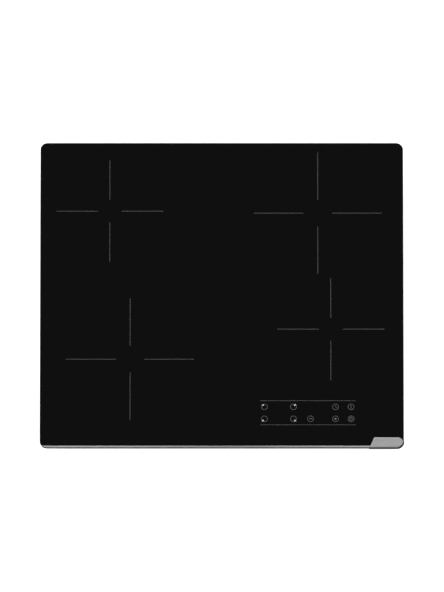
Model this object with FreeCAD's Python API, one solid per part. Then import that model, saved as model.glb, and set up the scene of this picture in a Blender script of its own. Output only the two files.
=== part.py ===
import FreeCAD, Part
import math
import os

# Built-in induction hob with four zones: a glass-ceramic top bonded to a steel frame, hung
# with its coils and electronics in a stepped steel tray, and held in a worktop by four clamps.
# Millimetres. +Z up, the cook stands at -Y, +X is to the cook's right.
# Origin: the middle of the hob, on the worktop's surface where the foam seal rests.

V = FreeCAD.Vector
OUT = "parts"
FLAT = 1e-4              # two heights closer than this are the same

# --- Overall -------------------------------------------------------------------------------
HOB_W = 590.0            # across the glass
HOB_D = 520.0            # front trim included
CORNER_R = 11.5
RIM = 15.0               # glass edge to the worktop's cut-out, on every side
CUTOUT_CLEARANCE = 4.0   # tray to cut-out, on every side
WORKTOP_T = 38.0         # laminate worktop that the clamps are set for
FIT = 0.2                # between folded sheet pieces
SEAT = 0.3               # under a curved or sprung seat
SLIP = 0.05              # radial, pin in its bore
HOLE_PLAY = 0.3          # radial, screw in a clearance hole

# --- Glass, seal and trims -----------------------------------------------------------------
GLASS_T = 4.0
GLASS_BEVEL = 0.6        # ground edge, sides and rear
SEAL_T = 2.0
SEAL_W = 6.0
SEAL_SETBACK_X = 4.0     # glass edge to seal
SEAL_SETBACK_Y = 8.0
TRIM_W = 3.0             # front trim, seen from above
TRIM_LIP = 3.6           # its lip under the glass
TRIM_LIP_T = 1.0
TRIM_LIFT = 0.2          # clear of the worktop
TRIM_EDGE_R = 0.5
CAP_T = 1.4
CAP_W = 57.4             # corner cap, along the front
CAP_D = 18.4
CAP_SLANT = 8.0          # its inner end leans by this much
CAP_WALL = 0.9           # skirt, outside the glass edge
CAP_REAR_R = 10.2
CAP_EDGE_R = 2.0

# --- Bonded frame and tray -----------------------------------------------------------------
SHEET_T = 0.8
FRAME_T = 1.0
FRAME_LEG = 16.0         # depth of the frame's leg under the glass
FRAME_FLANGE_X = 8.8
FRAME_FLANGE_Y = 5.6
LEDGE_W = 31.0           # ledges for the clamps, along the left and right sides
TRAY_DEPTH = 50.0
LEDGE_DEPTH = 34.0
TRAY_CORNER_R = 8.0
TRAY_BEND_R = 2.4
BEAD_W = 10.0
BEAD_DEPTH = 1.5
BEAD_LEN = 240.0
BEAD_FRONT = 61.0        # their front ends to the tray's front
BEAD_MIDDLE = 22.0       # columns from the middle, and from the boards' edges
BEAD_INNER = 28.0
BEAD_OUTER = 29.0
SLOT_W = 3.0
SLOT_PITCH = 6.4
OUTLET_SLOT_W = 2.5
OUTLET_SLOT_H = 18.0
OUTLET_PITCH = 9.0
OUTLET_INSET = 47.0      # row's ends from the deep step's sides
OUTLET_TOP = 16.0        # top of the outlet slots, under the worktop's surface

RATING = (70.0, 24.0, 0.4)
RATING_X = 126.0         # its far end from the middle
RATING_LIFT = 4.0        # above the ledge's height
RATING_CORNER_R = 2.0

# --- Fasteners -----------------------------------------------------------------------------
SCREW_R = 1.7
SCREW_HEAD_R = 3.4
SCREW_HEAD_H = 2.0
SCREW_HEAD_EDGE_R = 0.7
RECESS = (3.6, 0.9, 1.1)     # cross recess: across, blade, depth
SIDE_SCREW_LEN = 6.0
SIDE_SCREW_DEPTH = 8.0   # under the worktop's surface
SIDE_SCREW_INSET = 96.0  # from the tray's corners
POST_SCREW_LEN = 8.0
STUD_NUT_R = 4.6
STUD_NUT_H = 4.0
STUD_R = 2.5
STUD_LEN = 14.0
STUD_WASHER = (5.0, 1.0)     # radius, thickness
STUD_AT = (14.0, 16.0)   # outside the terminal box, and in front of its rear

# --- Coils ---------------------------------------------------------------------------------
COIL_INNER_R = 26.0
COIL_WIRE_W = 2.8
COIL_WIRE_H = 3.2
COIL_PITCH = 3.8
COIL_EDGE = 2.5          # last turn to the carrier's rim
SMALL_R = 84.0           # coil carriers
LARGE_R = 97.0
ZONE_INSETS = (
    # name, side, from the glass's side edge, end, from its front or rear edge, carrier radius
    ("rear_left", -1, 113.0, 1, 117.0, SMALL_R),
    ("rear_right", 1, 139.0, 1, 120.3, LARGE_R),
    ("front_left", -1, 146.3, -1, 150.2, LARGE_R),
    ("front_right", 1, 118.1, -1, 201.5, SMALL_R),
)
MICA_T = 0.8
CARRIER_T = 2.0
CARRIER_RIM_H = 6.9
CARRIER_WALL = 1.6
CARRIER_BAND = 6.0
HUB_R = 9.0
HUB_ARM_W = 4.0
HUB_CLEAR = 6.0          # hub to its hole in the coil plate
SENSOR_R = 4.0
SPOKES = 8
SPOKE_W = 18.0
FERRITE_W = 14.0
FERRITE_T = 4.2
FERRITE_INSETS = (3.0, 4.0)  # outside the winding's eye, inside the carrier's rim
PEG_R = 3.0
PEG_SHOULDER = 2.0
PEG_REACH = 3.0          # below the coil plate
PEG_INSET = 8.0          # from the carrier's rim
PEG_ANGLES = (90.0, 225.0, 315.0)    # midway between spokes
SPRING_ANGLES = (30.0, 150.0, 270.0)
SPRING_LEN = 30.0
SPRING_W = 8.0
SPRING_T = 0.4
PLATE_T = 1.0
PLATE_CORNER_R = 10.0
PLATE_DEPTH = 14.0       # coil plates' top, under the worktop's surface
PLATE_GAP = 6.0          # between the two plates
PLATE_EDGE = 5.0         # plates to the tray's wall
PLATE_FRONT_INSET = 29.0     # left plate's front edge to the tray's front
PLATE_TOUCH_GAP = 22.3       # touch controls to the right plate
POST_R = 3.6
POST_INSET = 6.6             # outer posts to the deep step's side
POST_REAR_INSETS = (19.0, 15.0)
POST_MID_Y = ((10.0, -16.0), (50.0, 8.0))
POST_END = 8.0               # front posts to the plate's front edge

# --- Electronics ---------------------------------------------------------------------------
BOARD_T = 1.6
BOARD_LIFT = 5.0
BOARD_CORNER_R = 3.0
BOARD_SIDE_GAP = 11.0    # power boards to the deep step's sides
BOARD_INNER = 62.0       # their inner edges from the middle
BOARD_PLATE_GAP = 4.0    # right board's front edge past the plate above it
FILTER_W = 96.0
FILTER_LEN = 232.0
FILTER_BOX_GAP = 36.2    # filter board to the terminal box
BOARD_HOLE_R = 1.7
BOARD_HOLE_INSET = 6.0
SPACER_R = 3.4
SINK_W = 54.0
SINK_HEAD_GAP = 0.6      # under the coil carriers' pegs
SINK_LEN = 150.0
SINK_BASE_T = 3.0
SINK_FINS = 9
SINK_FIN_T = 1.8
SINK_FAN_SHIFT = 6.0     # heatsink's middle outside the fan's
SINK_FAN_GAP = 8.0       # air gap from the fan's outlet
DEVICE_W = 15.6
DEVICE_H = 20.8
DEVICE_T = 5.0
DEVICE_PITCH = 26.0
DEVICES = 5              # against each heatsink
DEVICE_SETBACK = 20.0    # first one to the heatsink's end
DEVICE_LIFT = 3.2
DEVICE_LEG_W = 1.2
DEVICE_LEG_PITCH = 5.4
FILM_CAP = (31.0, 13.0, 22.0)
FILM_CAP_COLUMNS = (44.0, 80.0)      # from the power board's outer edge
FILM_CAP_FRONT = 16.0
FILM_CAP_PITCH = 17.0
CHOKE_R = 17.0
CHOKE_CORE_W = 7.0
CHOKE_H = 14.0
CHOKE_WIRE = 1.6         # winding's thickness around the core
CHOKE_PARTING = 5.0      # each winding's end to the core's middle
CHOKE_AT = (50.0, 32.0)  # on a power board, from its inner and front edges
FILTER_CHOKES_AT = (44.0, 92.0)      # from the filter board's front edge
LUG = 9.0
LEAD_R = 1.6
LEAD_BEND = 5.0
LEAD_PLAY = 2.4          # around a lead in a coil plate
MAINS_LEAD_X = 20.0
MAINS_LEAD_LIFT = 20.0   # above the tray's underside
MAINS_LEAD_LANDING = 12.0    # from the filter board's rear edge
MAINS_LEAD_BEND = 8.0
LINK_LEAD_AT = 114.0     # leads to the power boards, from the filter board's front edge
LINK_LEAD_RISE = 14.0
LINK_LEAD_ENDS = (10.0, 16.0)    # inside the filter board's side, outside the power board's
LEAD_HOLE_IN = 6.4       # inner lead's hole, outside the hub
LEAD_HOLE_OUT = 13.0     # outer lead's hole, inside the carrier's rim
LEAD_DROP = 20.0         # from a lug to where its lead comes down
LEAD_STACK = 4.4         # between a coil's two leads
LUG_INSET = 10.0         # from the power board's inner edge
LUG_SETBACK = 22.0       # first lug in front of its coil's middle
LUG_PITCH = 18.0
LUG_RISE = 8.0           # lead's height above the board

# --- Fans ----------------------------------------------------------------------------------
FAN_INSET_X = 75.0       # fan's middle to the deep step's side
FAN_INSET_Y = 69.0       # and to the tray's rear wall
FAN_CASE_R = 46.0
FAN_CASE_H = 24.0
FAN_WALL = 1.6
FAN_INLET_R = 30.0
FAN_OUTLET_W = 44.0
FAN_OUTLET_LEN = 54.0
ROTOR_R = 39.0
ROTOR_BLADE_R = 30.0     # inner ends of the blades
ROTOR_H = 17.0
ROTOR_BLADES = 28
ROTOR_BLADE_T = 1.0
ROTOR_DISC_T = 1.6
ROTOR_LEAN = 35.0
ROTOR_CUP_R = 16.0
ROTOR_CUP_WALL = 1.4
STATOR_R = 12.5
STATOR_H = 8.0
FAN_SHAFT_R = 1.5
FAN_HUB_R = 4.0
FAN_HUB_LEN = 4.0
ROTOR_HEAD_GAP = 1.4     # under the housing's roof
ROTOR_CUP_GAP = 2.4      # under the stator
ROTOR_RING = (2.0, 1.6)  # bottom ring: width, height
ROTOR_BLADE_SHARE = 0.92     # of the way to the rotor's rim
FAN_SHAFT_REACH = 8.0    # shaft below the stator's top
FAN_MOUTH_WALL = 4.0

# --- Touch controls ------------------------------------------------------------------------
TOUCH_INSET_X = 154.8    # middle of the keys to the glass's right edge
TOUCH_INSET_Y = 58.7     # and to the hob's front
TOUCH_W = 184.0
TOUCH_D = 54.0
TOUCH_WALL = 1.6
TOUCH_DEPTH = 12.0
TOUCH_BOARD_DEPTH = 3.0
TOUCH_LEG_R = 4.0
TOUCH_REST_R = 3.0       # rests under the board
TOUCH_LEG_INSET = 8.0
TOUCH_WINDOW = (16.0, 16.0, 12.0)    # for the ribbon: half width, inset at the front, at the rear
KEY_ROW_SHIFTS = (10.1, -10.2)
KEY_COLUMN_SHIFTS = (-70.6, -23.5, 44.6, 69.9)
MINUS_KEY_SHIFT = 4.1
PAD_R = 4.6
DISPLAY = (11.0, 9.0, 3.0)
DISPLAY_SHIFTS = (-47.1, -9.7)
TIMER_SHIFT = 24.3
TIMER_W = 20.0
RIBBON_W = 24.0
RIBBON_T = 0.9
RIBBON_SHIFT = 35.8
RIBBON_BEND = 6.0
RIBBON_LANDING = 7.0     # past the power board's front edge
RIBBON_SAG = 3.0         # its level run, under the middle between the boards

# --- Mains terminal box --------------------------------------------------------------------
BOX_W = 112.0
BOX_D = 60.0
BOX_H = 30.0
BOX_WALL = 2.0
BOX_SETBACK = 2.0        # clear of the tray's rear bend
BOX_MARGIN = 4.0         # tray floor kept under the box's walls
COVER_PLAY = 0.6
COVER_T = 2.0
COVER_RECESS = 0.4       # cover inside the tray's underside
HINGE_IN = 3.2           # hinge axis from the opening's edge
HINGE_UP = 3.0           # hinge axis above the tray's underside
HINGE_R = 2.4
HINGE_PIN_R = 1.0
EAR_HALF = 4.0           # ears for the pin, around its axis
PIN_HOLD = 3.2           # pin's ends in the ears
PIN_END_PLAY = 0.2
BOX_CORNER_R = 4.0
COVER_CORNER_R = 2.0
COVER_RIB = (1.6, 2.0)   # width, height
COVER_RIB_INSETS = (6.0, 5.0, 6.0)   # from the cover's sides, the hinge axis and the rear edge
COVER_NOTCH = (12.0, 2.0)    # for a screwdriver's blade: width, depth
BLOCK = (76.0, 20.0, 15.0)
BLOCK_POLES = 6
BLOCK_SETBACK = 14.0     # block to the box's front wall
BLOCK_ROOF = 3.0         # left above the screws' holes
WIRE_MOUTH = (6.4, 6.0, 4.0, 6.0)    # wire's way in: width, depth, lift, height
POLE_SLIT = (1.6, 5.0, 4.0)  # between poles: width, depth, left above
LINK_EDGE = (4.4, 3.6)   # strip's edges to its screws: along, across
LINK_CORNER_R = 2.0
TERMINAL_SLOT = 1.0      # screwdriver slot, width and depth
TERMINAL_TIP = 5.0       # screws' tips under the block's top
TERMINAL_R = 2.0
TERMINAL_HEAD_R = 3.6
TERMINAL_HEAD_H = 2.2
LINK_T = 1.0
LINKED_POLES = (0, 3)    # first pole of each linked pair
CABLE_R = 7.0
BUSHING_R = 8.6
BUSHING_FLANGE_R = 11.0
BUSHING_FLANGE_T = 1.8
BUSHING_EDGE_R = 0.8
CABLE_LIFT = 14.6        # cable's middle above the tray's underside

# --- Worktop clamps ------------------------------------------------------------------------
CLAMP_INSET_X = 16.0     # pivot to the tray's side
CLAMP_INSET_Y = 51.0
CLAMP_W = 16.0
CLAMP_T = 2.0
CLAMP_RISE = 7.0         # step from the arm up to the gripping flange
CLAMP_RISER_AT = 24.0
CLAMP_REACH = 34.0
CLAMP_SCREW_R = 2.0
CLAMP_HEAD_R = 4.2
CLAMP_HEAD_H = 2.8
CLAMP_HEAD_EDGE_R = 0.8
CLAMP_RECESS = (4.4, 1.0, 1.6)
CLAMP_BEND_R = 1.6       # outside the strip's folds
CLAMP_SCREW_TOP = 25.0   # under the worktop's surface
NUT_R = 4.5
NUT_H = 7.0

# --- Heights and edges that follow ---------------------------------------------------------
HALF_W = HOB_W / 2
HALF_D = HOB_D / 2
GLASS_Z = SEAL_T
TOP_Z = SEAL_T + GLASS_T
GLASS_FRONT = -HALF_D + TRIM_W
FLANGE_Z = TRIM_LIFT
FLANGE_TOP_Z = FLANGE_Z + FRAME_T
TRAY_TOP_Z = FLANGE_Z - FIT
TRAY_X = HALF_W - RIM - CUTOUT_CLEARANCE
TRAY_Y = HALF_D - RIM - CUTOUT_CLEARANCE
DEEP_X = TRAY_X - LEDGE_W
TRAY_IN_X = TRAY_X - SHEET_T
TRAY_IN_Y = TRAY_Y - SHEET_T
FLOOR_Z = -TRAY_DEPTH
FLOOR_TOP_Z = FLOOR_Z + SHEET_T
LEDGE_Z = -LEDGE_DEPTH
LEDGE_TOP_Z = LEDGE_Z + SHEET_T
FRAME_X = TRAY_IN_X - FIT
FRAME_Y = TRAY_IN_Y - FIT
MICA_TOP_Z = GLASS_Z - SEAT
MICA_Z = MICA_TOP_Z - MICA_T
COIL_TOP_Z = MICA_Z - FIT
COIL_Z = COIL_TOP_Z - COIL_WIRE_H
CARRIER_TOP_Z = COIL_Z
CARRIER_PLATE_Z = CARRIER_TOP_Z - CARRIER_T
CARRIER_Z = CARRIER_TOP_Z - CARRIER_RIM_H
PLATE_TOP_Z = -PLATE_DEPTH
PLATE_Z = PLATE_TOP_Z - PLATE_T
BOARD_Z = FLOOR_TOP_Z + BOARD_LIFT
BOARD_TOP_Z = BOARD_Z + BOARD_T
SINK_H = PLATE_Z - PEG_REACH - SINK_HEAD_GAP - BOARD_TOP_Z
ZONES = tuple(
    (name, side * (HALF_W - from_side), end * (HALF_D - from_end), radius)
    for name, side, from_side, end, from_end, radius in ZONE_INSETS
)
TOUCH_X = HALF_W - TOUCH_INSET_X
TOUCH_Y = -HALF_D + TOUCH_INSET_Y
KEY_ROWS = tuple(TOUCH_Y + shift for shift in KEY_ROW_SHIFTS)
KEY_COLUMNS = tuple(TOUCH_X + shift for shift in KEY_COLUMN_SHIFTS)
RIBBON_X = TOUCH_X + RIBBON_SHIFT
PLATE_FRONT = (-TRAY_Y + PLATE_FRONT_INSET, TOUCH_Y + TOUCH_D / 2 + PLATE_TOUCH_GAP)
BOARD_OUTER = DEEP_X - BOARD_SIDE_GAP
BOARD_FRONT = (PLATE_FRONT[0], PLATE_FRONT[1] - BOARD_PLATE_GAP)
FAN_X = DEEP_X - FAN_INSET_X
FAN_Y = TRAY_Y - FAN_INSET_Y
BOARD_REAR = FAN_Y - FAN_OUTLET_LEN
SINK_X = FAN_X + SINK_FAN_SHIFT
SINK_REAR = BOARD_REAR - SINK_FAN_GAP
FAN_Z = FLOOR_TOP_Z + SEAT
FAN_TOP_Z = FAN_Z + FAN_CASE_H
BOX_REAR = TRAY_IN_Y - BOX_SETBACK
BOX_FRONT = BOX_REAR - BOX_D
BOX_TOP_Z = FLOOR_TOP_Z + BOX_H
FILTER_Y = (BOX_FRONT - FILTER_BOX_GAP - FILTER_LEN, BOX_FRONT - FILTER_BOX_GAP)
OPEN_X = BOX_W / 2 - BOX_WALL - BOX_MARGIN
OPEN_REAR = BOX_REAR - BOX_WALL - BOX_MARGIN
OPEN_FRONT = BOX_FRONT + BOX_WALL + BOX_MARGIN
HINGE_Y = OPEN_FRONT + HINGE_IN
HINGE_Z = FLOOR_Z + HINGE_UP
CABLE_Z = FLOOR_Z + CABLE_LIFT
CLAMP_X = TRAY_X - CLAMP_INSET_X
CLAMP_Y = TRAY_Y - CLAMP_INSET_Y
GRIP_Z = -WORKTOP_T
CLAMP_ARM_TOP_Z = GRIP_Z - CLAMP_RISE + CLAMP_T
CLAMP_ARM_Z = CLAMP_ARM_TOP_Z - CLAMP_T
LUG_Z = BOARD_TOP_Z + LUG_RISE
MAINS_LEAD_Z = FLOOR_Z + MAINS_LEAD_LIFT
LINK_LEAD_Y = FILTER_Y[0] + LINK_LEAD_AT
LEAD_RUN_Z = PLATE_Z - 5.0
TOUCH_Z = -TOUCH_DEPTH
TOUCH_BOARD_Z = -TOUCH_BOARD_DEPTH


# --- Shape helpers -------------------------------------------------------------------------
def box(x0, x1, y0, y1, z0, z1):
    return Part.makeBox(x1 - x0, y1 - y0, z1 - z0, V(x0, y0, z0))


def cylinder(radius, x, y, z0, z1):
    return Part.makeCylinder(radius, z1 - z0, V(x, y, z0))


def cylinder_along(axis, radius, start, length):
    return Part.makeCylinder(radius, length, start, axis)


def tube(outer_r, inner_r, x, y, z0, z1):
    return cylinder(outer_r, x, y, z0, z1).cut(cylinder(inner_r, x, y, z0, z1))


def fuse(shapes):
    return shapes[0].multiFuse(shapes[1:]).removeSplitter() if len(shapes) > 1 else shapes[0]


def cut_all(shape, tools):
    return shape.cut(Part.makeCompound(tools)) if tools else shape


def upright_edges(shape):
    return [e for e in shape.Edges if abs(e.tangentAt(e.FirstParameter).z) > 0.999]


def edges_at(shape, z):
    flat = [e for e in shape.Edges if e.BoundBox.ZLength < FLAT]
    return [e for e in flat if abs(e.BoundBox.ZMin - z) < FLAT]


def rounded_block(x0, x1, y0, y1, radius, z0, z1):
    block = box(x0, x1, y0, y1, z0, z1)
    return block.makeFillet(radius, upright_edges(block))


def prism(points, z0, z1):
    """Upright prism over a closed list of (x, y) corners."""
    wire = Part.makePolygon([V(x, y, z0) for x, y in points] + [V(*points[0], z0)])
    return Part.Face(wire).extrude(V(0, 0, z1 - z0))


def turned(shape, degrees, x=0.0, y=0.0):
    copy = shape.copy()
    copy.rotate(V(x, y, 0), V(0, 0, 1), degrees)
    return copy


def moved(shape, x=0.0, y=0.0, z=0.0):
    copy = shape.copy()
    copy.translate(V(x, y, z))
    return copy


def single(shape):
    """The one solid inside a boolean result."""
    return shape.Solids[0] if len(shape.Solids) == 1 else shape


def rounded_route(points, radius):
    """Wire of straight runs joined by tangent arcs of one radius."""
    edges = []
    start = points[0]
    for corner, after in zip(points[1:-1], points[2:]):
        back = (start - corner).normalize()
        ahead = (after - corner).normalize()
        reach = radius / math.tan(back.getAngle(ahead) / 2)
        arc_start = corner + back * reach
        arc_end = corner + ahead * reach
        bisector = (back + ahead).normalize()
        centre = corner + bisector * (radius / math.sin(back.getAngle(ahead) / 2))
        edges.append(Part.LineSegment(start, arc_start).toShape())
        edges.append(Part.Arc(arc_start, centre - bisector * radius, arc_end).toShape())
        start = arc_end
    edges.append(Part.LineSegment(start, points[-1]).toShape())
    return Part.Wire(edges)


def round_lead(points, bend):
    """Round insulated lead along a rounded route."""
    axis = points[1] - points[0]
    profile = Part.Face(Part.Wire([Part.Circle(points[0], axis, LEAD_R).toShape()]))
    return rounded_route(points, bend).makePipe(profile)


# --- Glass, seal, trims --------------------------------------------------------------------
def hob_outline(grow, z0, z1):
    x = HALF_W + grow
    y = HALF_D + grow
    return rounded_block(-x, x, -y, y, CORNER_R + grow, z0, z1)


def make_glass_top():
    behind_trim = box(-HALF_W, HALF_W, GLASS_FRONT, HALF_D, GLASS_Z, TOP_Z)
    glass = hob_outline(0, GLASS_Z, TOP_Z).common(behind_trim)
    ground = [e for e in edges_at(glass, TOP_Z) if e.BoundBox.YMax > GLASS_FRONT + 1]
    return glass.makeChamfer(GLASS_BEVEL, ground)


def make_front_trim():
    front_strip = box(-HALF_W, HALF_W, -HALF_D, GLASS_FRONT, TRIM_LIFT, TOP_Z)
    bar = hob_outline(0, TRIM_LIFT, TOP_Z).common(front_strip)
    front = [e for e in edges_at(bar, TOP_Z) if e.BoundBox.YMax < GLASS_FRONT - 1]
    front = [e for e in front if e.BoundBox.XLength > HALF_W]
    bar = bar.makeFillet(TRIM_EDGE_R, front)
    lip_x = HALF_W - CORNER_R
    lip = box(-lip_x, lip_x, GLASS_FRONT - TRIM_W / 2, GLASS_FRONT + TRIM_LIP, GLASS_Z - TRIM_LIP_T, GLASS_Z)
    return fuse([bar, lip])


def make_corner_cap():
    right = HALF_W + CAP_WALL
    front = -HALF_D - CAP_WALL
    left = right - CAP_W
    rear = front + CAP_D
    top = TOP_Z + CAP_T
    corners = [(left + CAP_SLANT, rear), (right, rear), (right, front), (left, front)]
    cap = prism(corners, TRIM_LIFT, top)
    corner = V(right, front, (TRIM_LIFT + top) / 2)
    at_corner = [e for e in upright_edges(cap) if e.CenterOfMass.isEqual(corner, FLAT)]
    cap = cap.makeFillet(CORNER_R + CAP_WALL, at_corner)
    rear_corner = rounded_block(left - CAP_W, right, front - CAP_D, rear, CAP_REAR_R, TRIM_LIFT, top)
    cap = cap.common(rear_corner)
    cap = cap.makeFillet(CAP_EDGE_R, edges_at(cap, top))
    return single(cap.cut(hob_outline(SLIP, TRIM_LIFT - 1, TOP_Z)))


def make_worktop_gasket():
    x = HALF_W - SEAL_SETBACK_X
    y = HALF_D - SEAL_SETBACK_Y
    ring = rounded_block(-x, x, -y, y, CORNER_R, 0, SEAL_T)
    hole = rounded_block(-x + SEAL_W, x - SEAL_W, -y + SEAL_W, y - SEAL_W, CORNER_R - SEAL_W, 0, SEAL_T)
    return ring.cut(hole)


def make_glass_frame():
    leg_r = TRAY_CORNER_R - SHEET_T - FIT
    flange_x = FRAME_X + FRAME_FLANGE_X
    flange_y = FRAME_Y + FRAME_FLANGE_Y
    flange = rounded_block(-flange_x, flange_x, -flange_y, flange_y, leg_r, FLANGE_Z, FLANGE_TOP_Z)
    leg = rounded_block(-FRAME_X, FRAME_X, -FRAME_Y, FRAME_Y, leg_r, FLANGE_TOP_Z - FRAME_LEG, FLANGE_TOP_Z)
    x = FRAME_X - FRAME_T
    y = FRAME_Y - FRAME_T
    inside = rounded_block(-x, x, -y, y, leg_r - FRAME_T, FLANGE_TOP_Z - FRAME_LEG - 1, FLANGE_TOP_Z + 1)
    return fuse([flange, leg]).cut(inside).cut(side_screw_holes())


def make_glass_bond():
    x = FRAME_X + FRAME_FLANGE_X - 1
    y = FRAME_Y + FRAME_FLANGE_Y - 1
    bead_r = TRAY_CORNER_R - SHEET_T - FIT
    bead = rounded_block(-x, x, -y, y, bead_r, FLANGE_TOP_Z, GLASS_Z)
    return bead.cut(rounded_block(-FRAME_X, FRAME_X, -FRAME_Y, FRAME_Y, bead_r, FLANGE_TOP_Z, GLASS_Z))


# --- Tray ----------------------------------------------------------------------------------
def stepped_solid(inset, top_z):
    """Outside of the tray, or its cavity when inset by the sheet's thickness."""
    x = TRAY_X - inset
    y = TRAY_Y - inset
    deep_x = DEEP_X - inset
    corner_r = TRAY_CORNER_R - inset
    steps = []
    for half_x, z0 in ((x, LEDGE_Z + inset), (deep_x, FLOOR_Z + inset)):
        block = rounded_block(-half_x, half_x, -y, y, corner_r, z0, top_z)
        steps.append(block.makeFillet(TRAY_BEND_R - inset, edges_at(block, z0)))
    return fuse(steps)


def bead(x, y0, y1, width, depth, z0):
    """Stiffening bead pressed into the floor, along Y."""
    half = width / 2
    body = box(x - half, x + half, y0, y1, z0, z0 + depth)
    return fuse([body, cylinder(half, x, y0, z0, z0 + depth), cylinder(half, x, y1, z0, z0 + depth)])


def bead_rows():
    """Beads under the boards, where nothing else touches the floor."""
    columns = (BEAD_MIDDLE, BOARD_INNER + BEAD_INNER, BOARD_OUTER - BEAD_OUTER)
    y0 = -TRAY_Y + BEAD_FRONT
    return [(side * x, y0, y0 + BEAD_LEN) for x in columns for side in (-1, 1)]


def fan_spots():
    return ((-FAN_X, FAN_Y), (FAN_X, FAN_Y))


def inlet_slots():
    """Rows of slots under each fan, with a rib across the middle."""
    slots = []
    rows = int(FAN_INLET_R / SLOT_PITCH)
    rib = SLOT_W
    for fan_x, fan_y in fan_spots():
        for row in range(-rows, rows + 1):
            y = fan_y + row * SLOT_PITCH
            half = math.sqrt(FAN_INLET_R ** 2 - (row * SLOT_PITCH) ** 2)
            if half > 2 * rib:
                for x0, x1 in ((fan_x - half, fan_x - rib), (fan_x + rib, fan_x + half)):
                    y0 = y - SLOT_W / 2
                    slots.append(box(x0, x1, y0, y0 + SLOT_W, FLOOR_Z - 1, FLOOR_TOP_Z + 1))
    return slots


def outlet_slots():
    """Row of upright slots through the front wall, where the warm air leaves."""
    count = int(2 * (DEEP_X - OUTLET_INSET) / OUTLET_PITCH)
    first = -count * OUTLET_PITCH / 2
    top = -OUTLET_TOP
    slots = []
    for i in range(count + 1):
        x = first + i * OUTLET_PITCH
        slots.append(box(x, x + OUTLET_SLOT_W, -TRAY_Y - 1, -TRAY_IN_Y + 1, top - OUTLET_SLOT_H, top))
    return slots


def side_screw_places():
    """Where each side screw stands on the tray's outside, and its inward direction."""
    z = -SIDE_SCREW_DEPTH
    places = []
    reach_x = TRAY_X - SIDE_SCREW_INSET
    reach_y = TRAY_Y - SIDE_SCREW_INSET
    for y in (-reach_y, 0.0, reach_y):
        places.append((V(-TRAY_X, y, z), V(1, 0, 0)))
        places.append((V(TRAY_X, y, z), V(-1, 0, 0)))
    for x in (-reach_x, 0.0, reach_x):
        places.append((V(x, -TRAY_Y, z), V(0, 1, 0)))
        places.append((V(x, TRAY_Y, z), V(0, -1, 0)))
    return places


def side_screw_holes():
    depth = 1.0 + SHEET_T + FIT + FRAME_T + 1.0
    radius = SCREW_R + HOLE_PLAY
    places = side_screw_places()
    holes = [cylinder_along(inward, radius, place - inward, depth) for place, inward in places]
    return Part.makeCompound(holes)


def clamp_spots():
    """Name, pivot and whether the stowed arm points to the rear."""
    return (
        ("clamp_front_left", -CLAMP_X, -CLAMP_Y, 1),
        ("clamp_front_right", CLAMP_X, -CLAMP_Y, 1),
        ("clamp_rear_left", -CLAMP_X, CLAMP_Y, -1),
        ("clamp_rear_right", CLAMP_X, CLAMP_Y, -1),
    )


def cable_hole(radius):
    start = V(0, BOX_REAR - BOX_WALL - 1, CABLE_Z)
    return cylinder_along(V(0, 1, 0), radius, start, TRAY_Y + 1 - start.y)


def make_base_tray():
    outside = stepped_solid(0.0, TRAY_TOP_Z)
    cavity = stepped_solid(SHEET_T, TRAY_TOP_Z + 1)
    for x, y0, y1 in bead_rows():
        outside = outside.cut(bead(x, y0, y1, BEAD_W, BEAD_DEPTH, FLOOR_Z))
        cavity = cavity.cut(bead(x, y0, y1, BEAD_W + 2 * SHEET_T, BEAD_DEPTH, FLOOR_TOP_Z))
    tray = outside.cut(cavity)
    openings = inlet_slots() + outlet_slots()
    openings.append(box(-OPEN_X, OPEN_X, OPEN_FRONT, OPEN_REAR, FLOOR_Z - 1, FLOOR_TOP_Z + 1))
    openings.append(cable_hole(BUSHING_R + SLIP))
    for _, x, y, _ in clamp_spots():
        openings.append(cylinder(CLAMP_SCREW_R + HOLE_PLAY, x, y, LEDGE_Z - 1, LEDGE_TOP_Z + 1))
    return single(tray.cut(side_screw_holes()).cut(Part.makeCompound(openings)))


def cross_recess(across, blade, x, y, z0, z1):
    """Two crossed blades to cut from a screw's head."""
    long = across / 2
    thin = blade / 2
    return [
        box(x - long, x + long, y - thin, y + thin, z0, z1),
        box(x - thin, x + thin, y - long, y + long, z0, z1),
    ]


def pan_screw(place, inward, length):
    """Pan-head screw whose head sits on the sheet at place."""
    head = cylinder(SCREW_HEAD_R, 0, 0, 0, SCREW_HEAD_H)
    head = head.makeFillet(SCREW_HEAD_EDGE_R, edges_at(head, SCREW_HEAD_H))
    across, blade, depth = RECESS
    head = cut_all(head, cross_recess(across, blade, 0, 0, SCREW_HEAD_H - depth, SCREW_HEAD_H))
    screw = fuse([head, cylinder(SCREW_R, 0, 0, -length, 0)])
    screw.Placement = FreeCAD.Placement(place, FreeCAD.Rotation(V(0, 0, -1), inward))
    return screw


def plate_post_spots(side):
    """Six posts under one coil plate: three by the tray's side, three between the boards."""
    k = 0 if side < 0 else 1
    outer = DEEP_X - POST_INSET
    inner = (FILTER_W / 2 + BOARD_INNER) / 2
    front = PLATE_FRONT[k] + POST_END
    outer_mid, inner_mid = POST_MID_Y[k]
    spots = [(outer, TRAY_Y - POST_REAR_INSETS[k]), (outer, outer_mid), (outer, front)]
    spots += [(inner, (BOX_FRONT + FILTER_Y[1]) / 2 - POST_END), (inner, inner_mid), (inner, front)]
    return [(side * x, y) for x, y in spots]


def post_spots():
    return plate_post_spots(-1) + plate_post_spots(1)


def make_sheet_screws():
    down = V(0, 0, -1)
    screws = [pan_screw(place, inward, SIDE_SCREW_LEN) for place, inward in side_screw_places()]
    screws += [pan_screw(V(x, y, PLATE_TOP_Z), down, POST_SCREW_LEN) for x, y in post_spots()]
    return Part.makeCompound(screws)


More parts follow.
